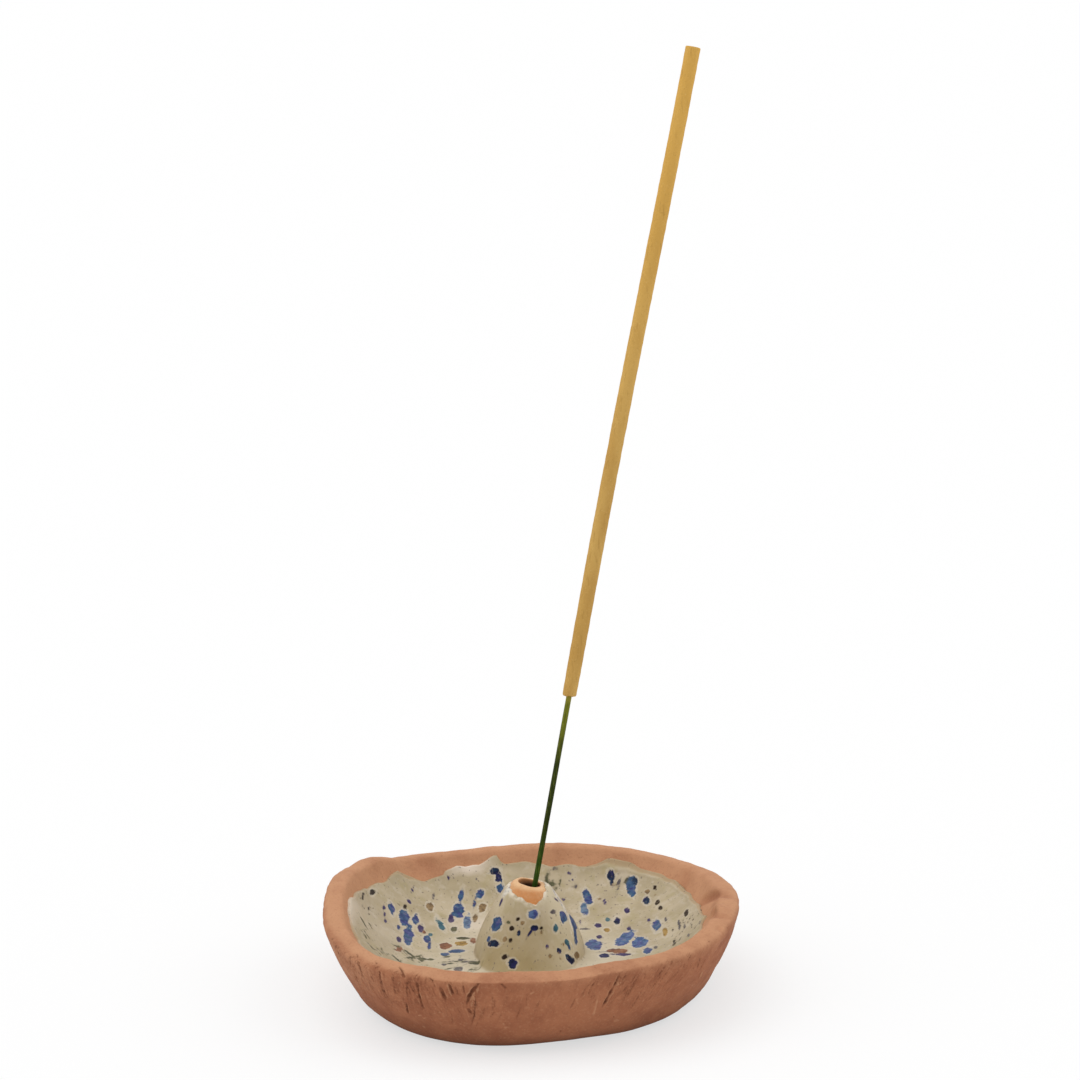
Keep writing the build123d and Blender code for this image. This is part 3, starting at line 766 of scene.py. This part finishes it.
# How far a stain strays to violet and teal within a blot
STRAYS = {"blue": 1, "sky": 1, "pale": 0.7, "navy": 0.4}
HOLLOW_BLOTS = {
    "dark": [
        (16, 0.67, 2, 0.7), (33, 0.56, 0.9, 0.5), (37, 0.6, 1.1, 0.6), (43, 0.73, 0.9, 0.6),
        (147, 0.55, 1.1, 0.5), (158, 0.81, 2, 0.8, 90), (169, 0.84, 1.5, 0.4),
    ],
    "violet": [
        (31, 0.4, 1.3, 0.5), (33, 0.22, 1.5, 0.5), (46, 0.41, 1.4, 0.7), (49, 0.11, 1.4, 0.8),
        (58, 0.45, 1.2, 0.5), (60, 0.09, 1.3, 0.3), (132, 0.25, 2.3, 0.8), (137, 0.69, 1.2, 0.5),
        (153, 0.29, 2.3, 0.8), (159, 0.65, 1.4, 0.5), (163, 0.6, 1.2, 0.4), (167, 0.56, 1.3, 0.4),
        (175, 0.38, 1.9, 0.6), (358, 0, 2.9, 1, 0),
    ],
    "grey": [
        (1, 0.3, 1.1, 0.5), (7, 0.6, 2, 0.35), (12, 0.56, 3.2, 0.35), (24, 0.5, 1.1, 0.3),
        (57, 0.68, 2.9, 0.5, 12), (72, 0.6, 1.2, 0.3), (130, 0.58, 1.3, 0.4), (353, 0.64, 1.6, 0.35),
        (356, 0.77, 1.5, 0.35),
    ],
    "sky": [(12, 0.18, 3.7, 2.1), (23, 0.1, 5.5, 1.9, 45)],
    "blue": [
        (23, 0.4, 3.9, 1.2), (52, 0.67, 3.5, 1.4), (66, 0.48, 2.9, 1.2), (102, 0.58, 1.5, 1),
        (111, 0.53, 1.6, 1), (115, 0.42, 2.3, 0.4), (119, 0.53, 2.5, 0.7), (125, 0.33, 3.4, 1.6),
        (149, 0.39, 2.4, 0.9), (153, 0.47, 3.9, 1.4), (155, 0.6, 2.4, 1.1, -55), (161, 0.16, 2.4, 1),
        (163, 0.44, 1.3, 0.4), (166, 0.32, 6.3, 1.3), (169, 0.1, 2.5, 0.4), (359, 0.23, 2, 1.1),
    ],
    "rust": [(155, 0.23, 1.2, 0.5), (186, 0.36, 2.3, 0.9, 70)],
    "teal": [(49, 0.23, 1.3, 0.6), (141, 0.21, 3.7, 0.9, -35), (155, 0.17, 1.1, 0.5)],
    "brown": [(45, 0.67, 0.8, 0.7), (113, 0.33, 2, 1), (120, 0.19, 1.8, 0.6), (135, 0.48, 1.9, 1.1)],
    "pale": [(64, 0.3, 2.5, 1.1), (127, 0.13, 4.4, 1)],
    "olive": [
        (55, 0.73, 1.5, 0.45, 12), (139, 0.09, 1.9, 0.9), (191, 0.24, 1.8, 0.7, 40),
        (191, 0.15, 1.6, 0.9, 30), (191, 0.07, 1, 0.7, 15),
    ],
    "navy": [
        (42, 0.57, 1.8, 0.9), (44, 0.25, 1.9, 0.8), (52, 0.74, 1.5, 1), (60, 0.7, 2, 0.6, 20),
        (61, 0.75, 1.8, 1.1), (101, 0.41, 1.4, 0.6), (102, 0.72, 1.4, 0.9), (103, 0.8, 1.6, 1, 90),
    ],
    "ochre": [(13, 0.42, 3, 0.7), (40, 0.08, 1.5, 0.9)],
}
FLOOR_BLOTS = {
    "rust": [(4, 23, 2.6, 1.9, 0), (149, 17.5, 2.3, 0.8), (165, 23, 2.2, 1.7)],
    "ochre": [(158, 19.5, 1.8, 1.7)],
    "olive": [(147, 21, 1.8, 1, 30)],
    "sky": [(21, 18, 4, 2.1)],
    "blue": [(175, 19, 2.3, 1.5, 0), (182, 22, 1.4, 1.2)],
    "grey": [(51, 23.5, 1.3, 0.6, -50), (195, 18.5, 0.9, 0.6), (200, 23.5, 0.9, 0.7), (212, 21.5, 1.7, 1.1)],
    "violet": [(34, 22, 1.4, 0.7)],
    "navy": [(354, 19.5, 1.7, 1.2)],
}
BOSS_BLOTS = {
    "sky": [(276, 0.74, 1.3, 1.1, 80)],
    "blue": [
        (216, 0.35, 1, 0.75, 80), (219, 0.55, 2.1, 1.7, -70), (319, 0.27, 0.7, 0.6),
        (332, 0.64, 1.7, 1.4, 60), (342, 0.38, 3.2, 0.8, 35), (352, 0.5, 2.1, 1.5, 20),
    ],
    "navy": [
        (226, 0.33, 1.9, 0.85, 80), (254, 0.16, 1.3, 1.3), (256, 0.5, 0.7, 0.5),
        (270, 0.51, 1.2, 0.3, 30), (277, 0.58, 0.9, 0.7, 90), (303, 0.27, 0.8, 0.7),
        (314, 0.13, 1.4, 1.1, -30), (319, 0.1, 1.2, 0.5, -75),
    ],
    "dark": [
        (245, 0.22, 0.7, 0.6), (245, 0.55, 0.7, 0.6), (247, 0.41, 0.6, 0.5), (252, 0.67, 0.6, 0.6),
        (287, 0.57, 0.5, 0.5),
    ],
    "brown": [
        (240, 0.41, 0.7, 0.6), (259, 0.63, 0.6, 0.6), (286, 0.52, 0.5, 0.4), (291, 0.23, 0.5, 0.4),
        (329, 0.11, 1.6, 1.1, -75),
    ],
    "olive": [(209, 0.01, 1.4, 0.6, 70), (238, 0.61, 0.6, 0.4, 80)],
    "teal": [(308, 0.54, 1.1, 0.8, 30), (318, 0.33, 0.9, 0.8)],
    "grey": [(315, 0.75, 1, 0.6, 90)],
    "violet": [(206, 0.8, 0.9, 0.4, -20), (290, 0.34, 0.5, 0.5), (340, 0.86, 0.9, 0.3, -35)],
    # The white run down the right shoulder, 326 to 356 degrees, is a painted highlight as well as glaze
    # broken white
    "white": [
        (202, 0.93, 1.6, 0.9), (356, 0.9, 1.6, 1, 10), (351, 0.78, 1.6, 0.7, 18),
        (348, 0.68, 1.5, 0.6, 18), (344, 0.58, 1.2, 0.45, 15), (340, 0.5, 1.4, 0.28, 10),
        (333, 0.4, 1, 0.25, 8), (326, 0.24, 1.3, 0.25, -6),
    ],
}
# Smudges of fine dashes and specks: where, stain, how many, between which azimuths and shares or radii,
# half length and width, and lean
SMUDGES = (
    ("hollow", "olive", 46, (184, 212), (0.1, 0.75), 0.9, 0.21, 55),
    ("hollow", "olive", 11, (182, 203), (0.25, 0.8), 1.4, 0.43, -35),
    ("hollow", "olive", 12, (76, 88), (0.35, 0.72), 1.8, 0.21, 4),
    ("hollow", "dark", 26, (-9, 15), (0.45, 0.85), 0.8, 0.21, 72),
    ("hollow", "dark", 8, (160, 178), (0.7, 0.88), 0.7, 0.21, 80),
    ("hollow", "violet", 7, (64, 145), (0.35, 0.8), 0.8, 0.5, -10),
    ("hollow", "grey", 6, (68, 142), (0.5, 0.8), 0.6, 0.35, -10),
    ("hollow", "brown", 4, (14, 62), (0.45, 0.75), 0.7, 0.4, 50),
    ("floor", "olive", 16, (184, 222), (17.5, 23.5), 1.1, 0.21, 14),
    ("floor", "grey", 12, (165, 205), (17, 23.5), 0.9, 0.21, 0),
    ("floor", "violet", 8, (350, 400), (17, 23.5), 0.8, 0.21, 20),
    ("boss", "brown", 5, (260, 314), (0.14, 0.34), 0.35, 0.3, 0),
)
# Blots on the sides that face away from the front: how many, and between which azimuths and shares
SCATTERED = {"hollow": (80, (206, 336), (0.05, 0.85)), "floor": (16, (238, 302), (20.0, 23.5)),
             "boss": (36, (12, 168), (0.1, 0.85))}
SCATTER_STAINS = (
    "blue", "blue", "navy", "violet", "violet", "dark", "brown", "brown", "grey", "olive", "rust")
# Their half widths where small, how many of them are, the others' half widths, how drawn out they are,
# and how far they lean
SMALL_BLOTS, SMALL_SHARE, LARGE_BLOTS, DRAWN_OUT, BLOT_LEAN = (0.3, 0.6), 0.7, (0.7, 1.5), (1.0, 2.6), 18
# How the dashes of a smudge differ in length, width and lean
DASH_LENGTHS, DASH_WIDTHS, DASH_LEAN = (0.6, 1.4), (0.75, 1.25), 8
# How far a blot is felt, in half lengths and millimetres, what stands for outside all, and a small turn
BLOT_REACH, BLOT_NEAR, OUTSIDE, SMALL_TURN = 1.5, 2.5, -1.5, 0.2


def floor_top(azimuth, radius):
    """Points on the glazed floor."""
    return turned(azimuth, radius, FLOOR_HEIGHT + GLAZE_THICKNESS)


BLOT_PLACES = {
    "hollow": (lambda azimuth, share: hollow_side(azimuth, share, GLAZE_THICKNESS), 0.01, HOLLOW_BLOTS, 1),
    "floor": (floor_top, 0.2, FLOOR_BLOTS, 1),
    "boss": (lambda azimuth, share: boss_side(azimuth, share, GLAZE_THICKNESS), 0.01, BOSS_BLOTS, 0),
}
face = vertex_values(glaze.data) / MM
blot_depth = np.full(len(face), OUTSIDE)
blot_width = np.ones(len(face))
blot_stain = np.tile(np.array(BLOT_STAINS["grey"]), (len(face), 1))


def flick(place, nudge, stain, azimuth, share, length, width, lean):
    """Lets one blot fall: each vertex near it learns how far inside it is, in millimetres, and its stain."""
    middle = place(np.array(azimuth), np.array(share))
    round_way = place(np.array(azimuth + SMALL_TURN), np.array(share)) - middle
    up_way = place(np.array(azimuth), np.array(share + nudge)) - middle
    round_way, up_way = round_way / np.linalg.norm(round_way), up_way / np.linalg.norm(up_way)
    near = np.flatnonzero((np.abs(face - middle) < BLOT_REACH * length + BLOT_NEAR).all(axis=1))
    off = face[near] - middle
    turn = np.radians(lean)
    long_way = np.sin(turn) * round_way + np.cos(turn) * up_way
    short_way = np.cos(turn) * round_way - np.sin(turn) * up_way
    reach = np.hypot(off @ long_way / length, off @ short_way / width)
    beside = np.abs(off @ np.cross(round_way, up_way)) < BLOT_NEAR
    depth = np.where(beside, (1 - reach) * width, OUTSIDE)
    nearer = depth > blot_depth[near]
    blot_depth[near[nearer]] = depth[nearer]
    blot_width[near[nearer]] = width
    blot_stain[near[nearer]] = (*BLOT_STAINS[stain][:3], STRAYS.get(stain, 0))


for part, (place, nudge, blots, to_front) in BLOT_PLACES.items():
    for stain, drops in blots.items():
        for azimuth, share, length, width, *leans in drops:
            lean = leans[0] if leans else to_front * (90 - azimuth)
            flick(place, nudge, stain, azimuth, share, length, width, lean)
    count, azimuths, shares = SCATTERED[part]
    for _ in range(count):
        stain = SCATTER_STAINS[rng.integers(len(SCATTER_STAINS))]
        width = rng.uniform(*(SMALL_BLOTS if rng.random() < SMALL_SHARE else LARGE_BLOTS))
        length = width * rng.uniform(*DRAWN_OUT)
        spot = rng.uniform(*azimuths), rng.uniform(*shares)
        flick(place, nudge, stain, *spot, length, width, rng.normal(0, BLOT_LEAN))

for part, stain, count, azimuths, shares, reach, breadth, lean in SMUDGES:
    place, nudge, *_ = BLOT_PLACES[part]
    for _ in range(count):
        length, width = reach * rng.uniform(*DASH_LENGTHS), breadth * rng.uniform(*DASH_WIDTHS)
        spot = rng.uniform(*azimuths), rng.uniform(*shares)
        flick(place, nudge, stain, *spot, length, width, rng.normal(lean, DASH_LEAN))

mark(glaze.data, "blot_depth", blot_depth)
mark(glaze.data, "blot_width", blot_width)
mark(glaze.data, "blot_stain", blot_stain, "FLOAT_COLOR", "color")

# How far the glaze lies below its edge, as a share of the hollow's side, and where that makes it thin
FAR_DOWN, THIN_START, LEAST_THIN = 9, 1.25, 0.012
glaze_down = glaze_stop(glaze_azimuth) * np.maximum(0, glaze_along - 1)
glaze_down = np.where(glaze_along < 2, glaze_down, FAR_DOWN)
thin_share = glaze_down / np.maximum(thin_run(glaze_azimuth), LEAST_THIN)
mark(glaze.data, "thin", np.clip(THIN_START - thin_share, 0, 1))

# Where painted shade darkens the glaze low on the boss, most at its front-left, where painted light pales its
# right and left flanks, and where the glaze is milky at its edge, down the side and below the lip: azimuth,
# spread, strength
BOSS_SHADE_BASE, BOSS_SHADES, BOSS_LIGHTS = 0.25, ((255, 80, 0.75),), ((335, 55, 1.0), (205, 30, 0.4))
MILKY_EDGES, MILKY_FEET, MILKY_TOPS = ((112, 11, 1.0), (188, 16, 0.5)), ((124, 20, 0.5),), ((178, 24, 0.18),)
boss_shaded = np.interp(glaze_along, (3.6, 4.05, 4.3, 4.85, 6), (0, 1, 0.8, 0.15, 0))
mark(glaze.data, "on_boss", boss_shaded * (BOSS_SHADE_BASE + humps(glaze_azimuth, BOSS_SHADES)))
mark(glaze.data, "boss_painted_light", band(glaze_along, (3.7, 4.1, 4.95, 5)) * humps(glaze_azimuth, BOSS_LIGHTS))
mark(glaze.data, "brow", band(glaze_along, (4.935, 4.97, 5.6, 6)))
mark(glaze.data, "pooled", band(glaze_along, (1.7, 2.1, 3.5, 3.9)))
milky = np.interp(glaze_down, (0, 0.06, 0.13), (1, 0.8, 0)) * humps(glaze_azimuth, MILKY_EDGES)
milky += band(glaze_along, (1.65, 1.85, 2.0, 2.3)) * humps(glaze_azimuth, MILKY_FEET)
milky += band(glaze_along, (1.0, 1.1, 1.5, 1.7)) * humps(glaze_azimuth, MILKY_TOPS)
mark(glaze.data, "milky", milky)

glaze_finish, brush = begin_finish("speckled_glaze")
where = brush.node("ShaderNodeTexCoord", output=3)
runs = stretched(brush, where, (1, 1, 0.5))
cloud = grain(brush, where, 90, 3)
ripple = grain(brush, runs, 300, 3, 0.6)
fleck = grain(brush, runs, 700, 2)
pepper = grain(brush, runs, 1250, 1)
wander = grain(brush, where, 480, 2, 0.6)
ragged = grain(brush, where, 1300, 2, 0.6)
mottle = grain(brush, where, 620, 3, 0.65)
cream = layered(cloud.rise(0.35, 0.65).tint(shade(172, 157, 128), shade(189, 174, 147)), (
    (ripple.rise(0.5, 0.68) * 0.45, shade(166, 152, 110)),
    (ripple.rise(0.46, 0.32) * 0.4, shade(198, 186, 166)),
    (fleck.rise(0.58, 0.72) * 0.25, shade(206, 196, 178)),
    (kept(brush, "pooled") * 0.55, shade(208, 196, 172)),
    # Painted shade low on the boss, darkest at its front-left
    (kept(brush, "on_boss") * 0.78, shade(160, 140, 98)),
    # Painted light on the boss's right and left flanks
    (kept(brush, "boss_painted_light") * 0.6, shade(214, 202, 172)),
    (kept(brush, "thin").rise(0.15, 0.75) * 0.75, shade(172, 146, 112)),
    (kept(brush, "milky") * (0.5 + ripple), shade(226, 212, 196)),
    (kept(brush, "brow") * ripple.rise(0.4, 0.54) * 0.85, shade(226, 214, 194)),
    (pepper.rise(0.67, 0.74) * 0.65, shade(104, 94, 88)),
))
width = kept(brush, "blot_width")
depth = kept(brush, "blot_depth") + (wander - 0.5) * (0.4 + width * 0.9)
depth = depth + (ragged - 0.5) * (0.25 + width * 0.3)
stain = brush.node("ShaderNodeAttribute", {"attribute_name": "blot_stain"})
strays = brush.node("ShaderNodeAttribute", {"attribute_name": "blot_stain"}, output=3)
stray = grain(brush, where, 460, 2)
stain = (stray.rise(0.5, 0.6) * strays * 0.55).tint(stain, shade(64, 58, 124))
stain = (stray.rise(0.48, 0.38) * strays * 0.45).tint(stain, shade(50, 94, 120))
stain = (mottle.rise(0.48, 0.58) * 0.75).tint(stain, stretched(brush, stain, (0.5, 0.5, 0.6)))
stain = (mottle.rise(0.45, 0.36) * 0.15).tint(stain, cream)
halo = (depth.rise(-0.65, -0.2) * width.rise(0.4, 1.0) * 0.4).tint(cream, shade(214, 205, 190))
halo = (depth.rise(-0.25, 0.0) * 0.25).tint(halo, stain)
colour = depth.rise(-0.1, 0.12).tint(halo, stain)
relief = ripple * 0.6 + fleck * 0.25
end_finish(brush, colour, 0.3 + 0.2 * cloud, 0.1, relief, 0.6, 0.0004)
glaze.data.materials.append(glaze_finish)
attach(glaze, "dish")
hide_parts("glaze_coat")

# The splint: a sliver of bamboo, split and scraped nearly round, dyed green where it stays bare.
# It leans across the hole in the boss and carries the paste on its upper part.
CORE_RADIUS, BARE_LENGTH, COAT_LENGTH = 0.68, 65.6, 167.5
STICK_AZIMUTH, STICK_CLEARANCE, STICK_FOOT_GAP, NECK_HEIGHT = 30, 0.3, 0.4, 27.5
STICK_BOW = -0.65
CORE_SIDES, CORE_CUTS = 24, 150
# Its facets: depth as a share of the radius, how many, the rise in which they wind on, and where they start
FACETS = ((0.05, 3, 90, 0), (0.025, 7, np.inf, 1))
SCRAPE_DEPTH, SCRAPE_LENGTHS = 0.03, (5.3, 8.1)
SHARP_ANGLE = 50

# It leans from the low side of the hole's floor to the far side of its neck
room = BORE_RADIUS - CORE_RADIUS - STICK_CLEARANCE
stick_foot = turned(STICK_AZIMUTH, -room, BORE_FLOOR + STICK_FOOT_GAP)
stick_axis = turned(STICK_AZIMUTH, room, NECK_HEIGHT) - stick_foot
stick_axis /= np.linalg.norm(stick_axis)
stick_right = np.array((1.0, 0.0, 0.0)) - stick_axis[0] * stick_axis
stick_right /= np.linalg.norm(stick_right)
stick_back = np.cross(stick_axis, stick_right)


def on_stick(turn, radius, height):
    """Points round the leaning stick, which bows a little between its ends."""
    bow = STICK_BOW * np.sin(np.pi * np.clip(height / (BARE_LENGTH + COAT_LENGTH), 0, 1)) ** 2
    middle = stick_foot + height[:, None] * stick_axis + bow[:, None] * stick_right
    outwards = np.cos(turn)[:, None] * stick_right + np.sin(turn)[:, None] * stick_back
    return middle + radius[:, None] * outwards


core = begin_piece(
    bpy.ops.mesh.primitive_cylinder_add, "bamboo_splint", vertices=CORE_SIDES, radius=1, depth=2,
    end_fill_type="TRIFAN")
bpy.ops.object.mode_set(mode="EDIT")
bpy.ops.mesh.select_all(action="DESELECT")
bpy.ops.object.mode_set(mode="OBJECT")
for edge in core.data.edges:
    low, high = (core.data.vertices[number].co for number in edge.vertices)
    edge.select = abs(low.z - high.z) > 1
bpy.ops.object.mode_set(mode="EDIT")
bpy.ops.mesh.select_mode(type="EDGE")
bpy.ops.mesh.subdivide(number_cuts=CORE_CUTS)
bpy.ops.object.mode_set(mode="OBJECT")
tube = vertex_values(core.data)
core_turn = np.arctan2(tube[:, 1], tube[:, 0])
core_height = (tube[:, 2] + 1) / 2 * (BARE_LENGTH + COAT_LENGTH)
core_radius = np.hypot(tube[:, 0], tube[:, 1]) * CORE_RADIUS
facets = 1.0
for depth, count, wind, start in FACETS:
    facets = facets - depth * np.cos(count * core_turn + core_height / wind + start)
short, long = SCRAPE_LENGTHS
facets *= 1 - SCRAPE_DEPTH * np.sin(core_height / short) * np.sin(core_height / long)
place_vertices(core.data, on_stick(core_turn, core_radius * facets, core_height))
bpy.ops.object.shade_smooth_by_angle(angle=np.radians(SHARP_ANGLE))
mark(core.data, "up_stick", core_height / BARE_LENGTH)

bamboo, brush = begin_finish("dyed_bamboo")
where = brush.node("ShaderNodeTexCoord", output=3)
fibre = grain(brush, stretched(brush, where, (1, 1, 0.04)), 2600, 3)
blotch = grain(brush, stretched(brush, where, (1, 1, 0.3)), 260, 2)
up_stick = kept(brush, "up_stick")
faded = (up_stick + (blotch - 0.5) * 0.3).rise(0.66, 0.98)
colour = layered(faded.tint(shade(44, 54, 10), shade(112, 116, 30)), (
    (up_stick.rise(0.48, 0.32) * 0.8, shade(46, 76, 16)),
    (up_stick.rise(0.955, 1.0) * 0.55, shade(172, 156, 66)),
    (fibre.rise(0.5, 0.68) * 0.45, shade(34, 42, 10)),
    (fibre.rise(0.46, 0.32) * 0.3, shade(128, 134, 52)),
))
end_finish(brush, colour, 0.5 + 0.2 * fibre, 0.1, fibre, 0.7, 0.0002)
core.data.materials.append(bamboo)
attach(core, "stick")
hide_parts("bamboo_core")

# The paste: ground wood, gum and scent, rolled on the splint while damp, cut square at both ends and dried.
# Its upper end is cut clean, and its lower end is a little ragged and thinner.
COAT_RADIUS, COAT_END_ROUND, COAT_INNER_SHARE = 1.85, 0.35, 0.8
COAT_SIDES = 48
# Steps round the section: its lower end, the lower round, its face, the upper round, its end, and inside
COAT_STAGE_STEPS = (0, 8, 14, 214, 220, 228, 240)
# The ragged end's waves (reach, how many in a turn, start), and how far up they are felt
END_WAVES, END_REACH = ((0.25, 1, 0.6), (0.12, 3, 0), (0.06, 7, 0)), 2.5
# The uneven roll: its fullest, its depth as a share, its two lengths, and its level and swing round the turn
ROLL_FULL, ROLL_DEPTH, ROLL_LENGTH, ROLL_WANDER, ROLL_LEVEL, ROLL_SWING = 1.03, 0.015, 11, 4.3, 0.6, 0.4
NECK_THINNING, NECK_REACH = 0.06, 9

coat, coat_turn, coat_along = begin_hoop("rolled_paste", COAT_SIDES, COAT_STAGE_STEPS)
stages, share = staged(coat_along, 6)
inner = CORE_RADIUS * COAT_INNER_SHARE
quarter = np.radians(90 * share)
coat_radius = np.select(stages, [
    inner + share * (COAT_RADIUS - COAT_END_ROUND - inner),
    COAT_RADIUS - COAT_END_ROUND * (1 - np.sin(quarter)), COAT_RADIUS + 0 * share,
    COAT_RADIUS - COAT_END_ROUND * (1 - np.cos(quarter)),
    COAT_RADIUS - COAT_END_ROUND - share * (COAT_RADIUS - COAT_END_ROUND - inner), inner + 0 * share])
coat_height = np.select(stages, [
    0 * share, COAT_END_ROUND * (1 - np.cos(quarter)),
    COAT_END_ROUND + share * (COAT_LENGTH - 2 * COAT_END_ROUND),
    COAT_LENGTH - COAT_END_ROUND * (1 - np.sin(quarter)), COAT_LENGTH + 0 * share, COAT_LENGTH * (1 - share)])
ragged_end = sum(reach * np.sin(count * coat_turn + start) for reach, count, start in END_WAVES)
coat_height = coat_height + ragged_end * np.exp(-coat_height / END_REACH)
roll = ROLL_DEPTH * np.sin(coat_height / ROLL_LENGTH + np.sin(coat_height / ROLL_WANDER))
rolled = ROLL_FULL - roll * (ROLL_LEVEL + ROLL_SWING * np.sin(coat_turn))
rolled -= NECK_THINNING * np.exp(-coat_height / NECK_REACH)
place_vertices(coat.data, on_stick(coat_turn, coat_radius * rolled, BARE_LENGTH + coat_height))
face_outwards()
mark(coat.data, "up_coat", coat_height / COAT_LENGTH)
press_lumps(coat, band(coat_along, (1, 1.5, 3.5, 4)), 1.6, 0.16, "paste_lumps")
bpy.ops.object.shade_smooth()

paste, brush = begin_finish("incense_paste")
where = brush.node("ShaderNodeTexCoord", output=3)
cloud = grain(brush, stretched(brush, where, (1, 1, 0.3)), 160, 3)
powder = grain(brush, where, 2400, 3, 0.65)
thread = grain(brush, stretched(brush, where, (1, 1, 0.12)), 1500, 2)
colour = layered(cloud.rise(0.36, 0.64).tint(shade(192, 150, 80), shade(204, 164, 92)), (
    (kept(brush, "up_coat").rise(0.3, 0.95) * 0.75, shade(218, 170, 84)),
    (thread.rise(0.58, 0.72) * 0.4, shade(168, 126, 62)),
    (powder.rise(0.6, 0.72) * 0.4, shade(150, 112, 58)),
    (powder.rise(0.42, 0.3) * 0.35, shade(222, 190, 124)),
))
end_finish(brush, colour, 0.92 - 0.1 * powder, 0.1, powder + thread * 0.5, 0.6, 0.0002)
coat.data.materials.append(paste)
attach(coat, "stick")
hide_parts("incense_coat")

# The studio: a white table that fades into a white background, wide soft lamps from above, from the left
# and from the right, and a long lens that looks a little down on the dish. Here lengths are metres.
FLOOR_SIZE = 30
WHITE, TABLE_WHITE = (1, 1, 1, 1), (0.92, 0.92, 0.92, 1)
TABLE_GLOW, AIR_LIGHT, BACKDROP_LIGHT = 0.65, 0.6, 1.0
LAMP_ANGLE = 60
# Which way each lamp lies, and its power
LAMPS = {
    "top_lamp": ((-0.25, 0.0, 1.0), 0.9), "left_lamp": ((-0.9, -0.2, 0.7), 0.45),
    "right_lamp": ((0.9, 0.1, 0.7), 0.6),
}
LENS_LENGTH, SENSOR_WIDTH = 100, 36
CAMERA_PLACE, CAMERA_TILT = (0.00265, -0.73779, 0.28422), 77.4

floor = begin_piece(bpy.ops.mesh.primitive_plane_add, "studio_floor", size=FLOOR_SIZE)


def seen(brush):
    """1 where the camera, a reflection or a clear body looks at this, and 0 where it only lights others."""
    path = brush.node("ShaderNodeLightPath")
    outputs = path.socket.node.outputs
    camera, glossy, clear = (Paint(brush.tree, outputs[name]) for name in (
        "Is Camera Ray", "Is Glossy Ray", "Is Transmission Ray"))
    return camera.maths("MAXIMUM", camera.maths("MAXIMUM", camera, glossy), clear)


table, brush = begin_finish("white_table")
matt = brush.node("ShaderNodeBsdfDiffuse", {}, {"Color": TABLE_WHITE})
glow = brush.node("ShaderNodeEmission", {}, {"Color": WHITE, "Strength": BACKDROP_LIGHT})
mixed = brush.node("ShaderNodeMixShader", {}, {0: seen(brush) * TABLE_GLOW, 1: matt, 2: glow})
brush.node("ShaderNodeOutputMaterial", {}, {"Surface": mixed})
floor.data.materials.append(table)

world = bpy.data.worlds.new("studio_air")
bpy.context.scene.world = world
world.use_nodes = True
world.node_tree.nodes.clear()
brush = Paint(world.node_tree)
air = brush.node("ShaderNodeBackground", {}, {"Color": WHITE, "Strength": AIR_LIGHT})
backdrop = brush.node("ShaderNodeBackground", {}, {"Color": WHITE, "Strength": BACKDROP_LIGHT})
mixed = brush.node("ShaderNodeMixShader", {}, {0: seen(brush), 1: air, 2: backdrop})
brush.node("ShaderNodeOutputWorld", {}, {"Surface": mixed})

for name, (place, power) in LAMPS.items():
    lamp = bpy.data.lights.new(name, "SUN")
    lamp.angle, lamp.energy = np.radians(LAMP_ANGLE), power
    holder = bpy.data.objects.new(name, lamp)
    bpy.context.scene.collection.objects.link(holder)
    holder.location = place
    holder.rotation_euler = (-Vector(place)).to_track_quat("-Z", "Y").to_euler()

lens = bpy.data.cameras.new("long_lens")
lens.lens, lens.sensor_width = LENS_LENGTH, SENSOR_WIDTH
camera = bpy.data.objects.new("long_lens", lens)
bpy.context.scene.collection.objects.link(camera)
camera.location = CAMERA_PLACE
camera.rotation_euler = (np.radians(CAMERA_TILT), 0, 0)
bpy.context.scene.camera = camera
bpy.context.scene.view_settings.view_transform = "Standard"
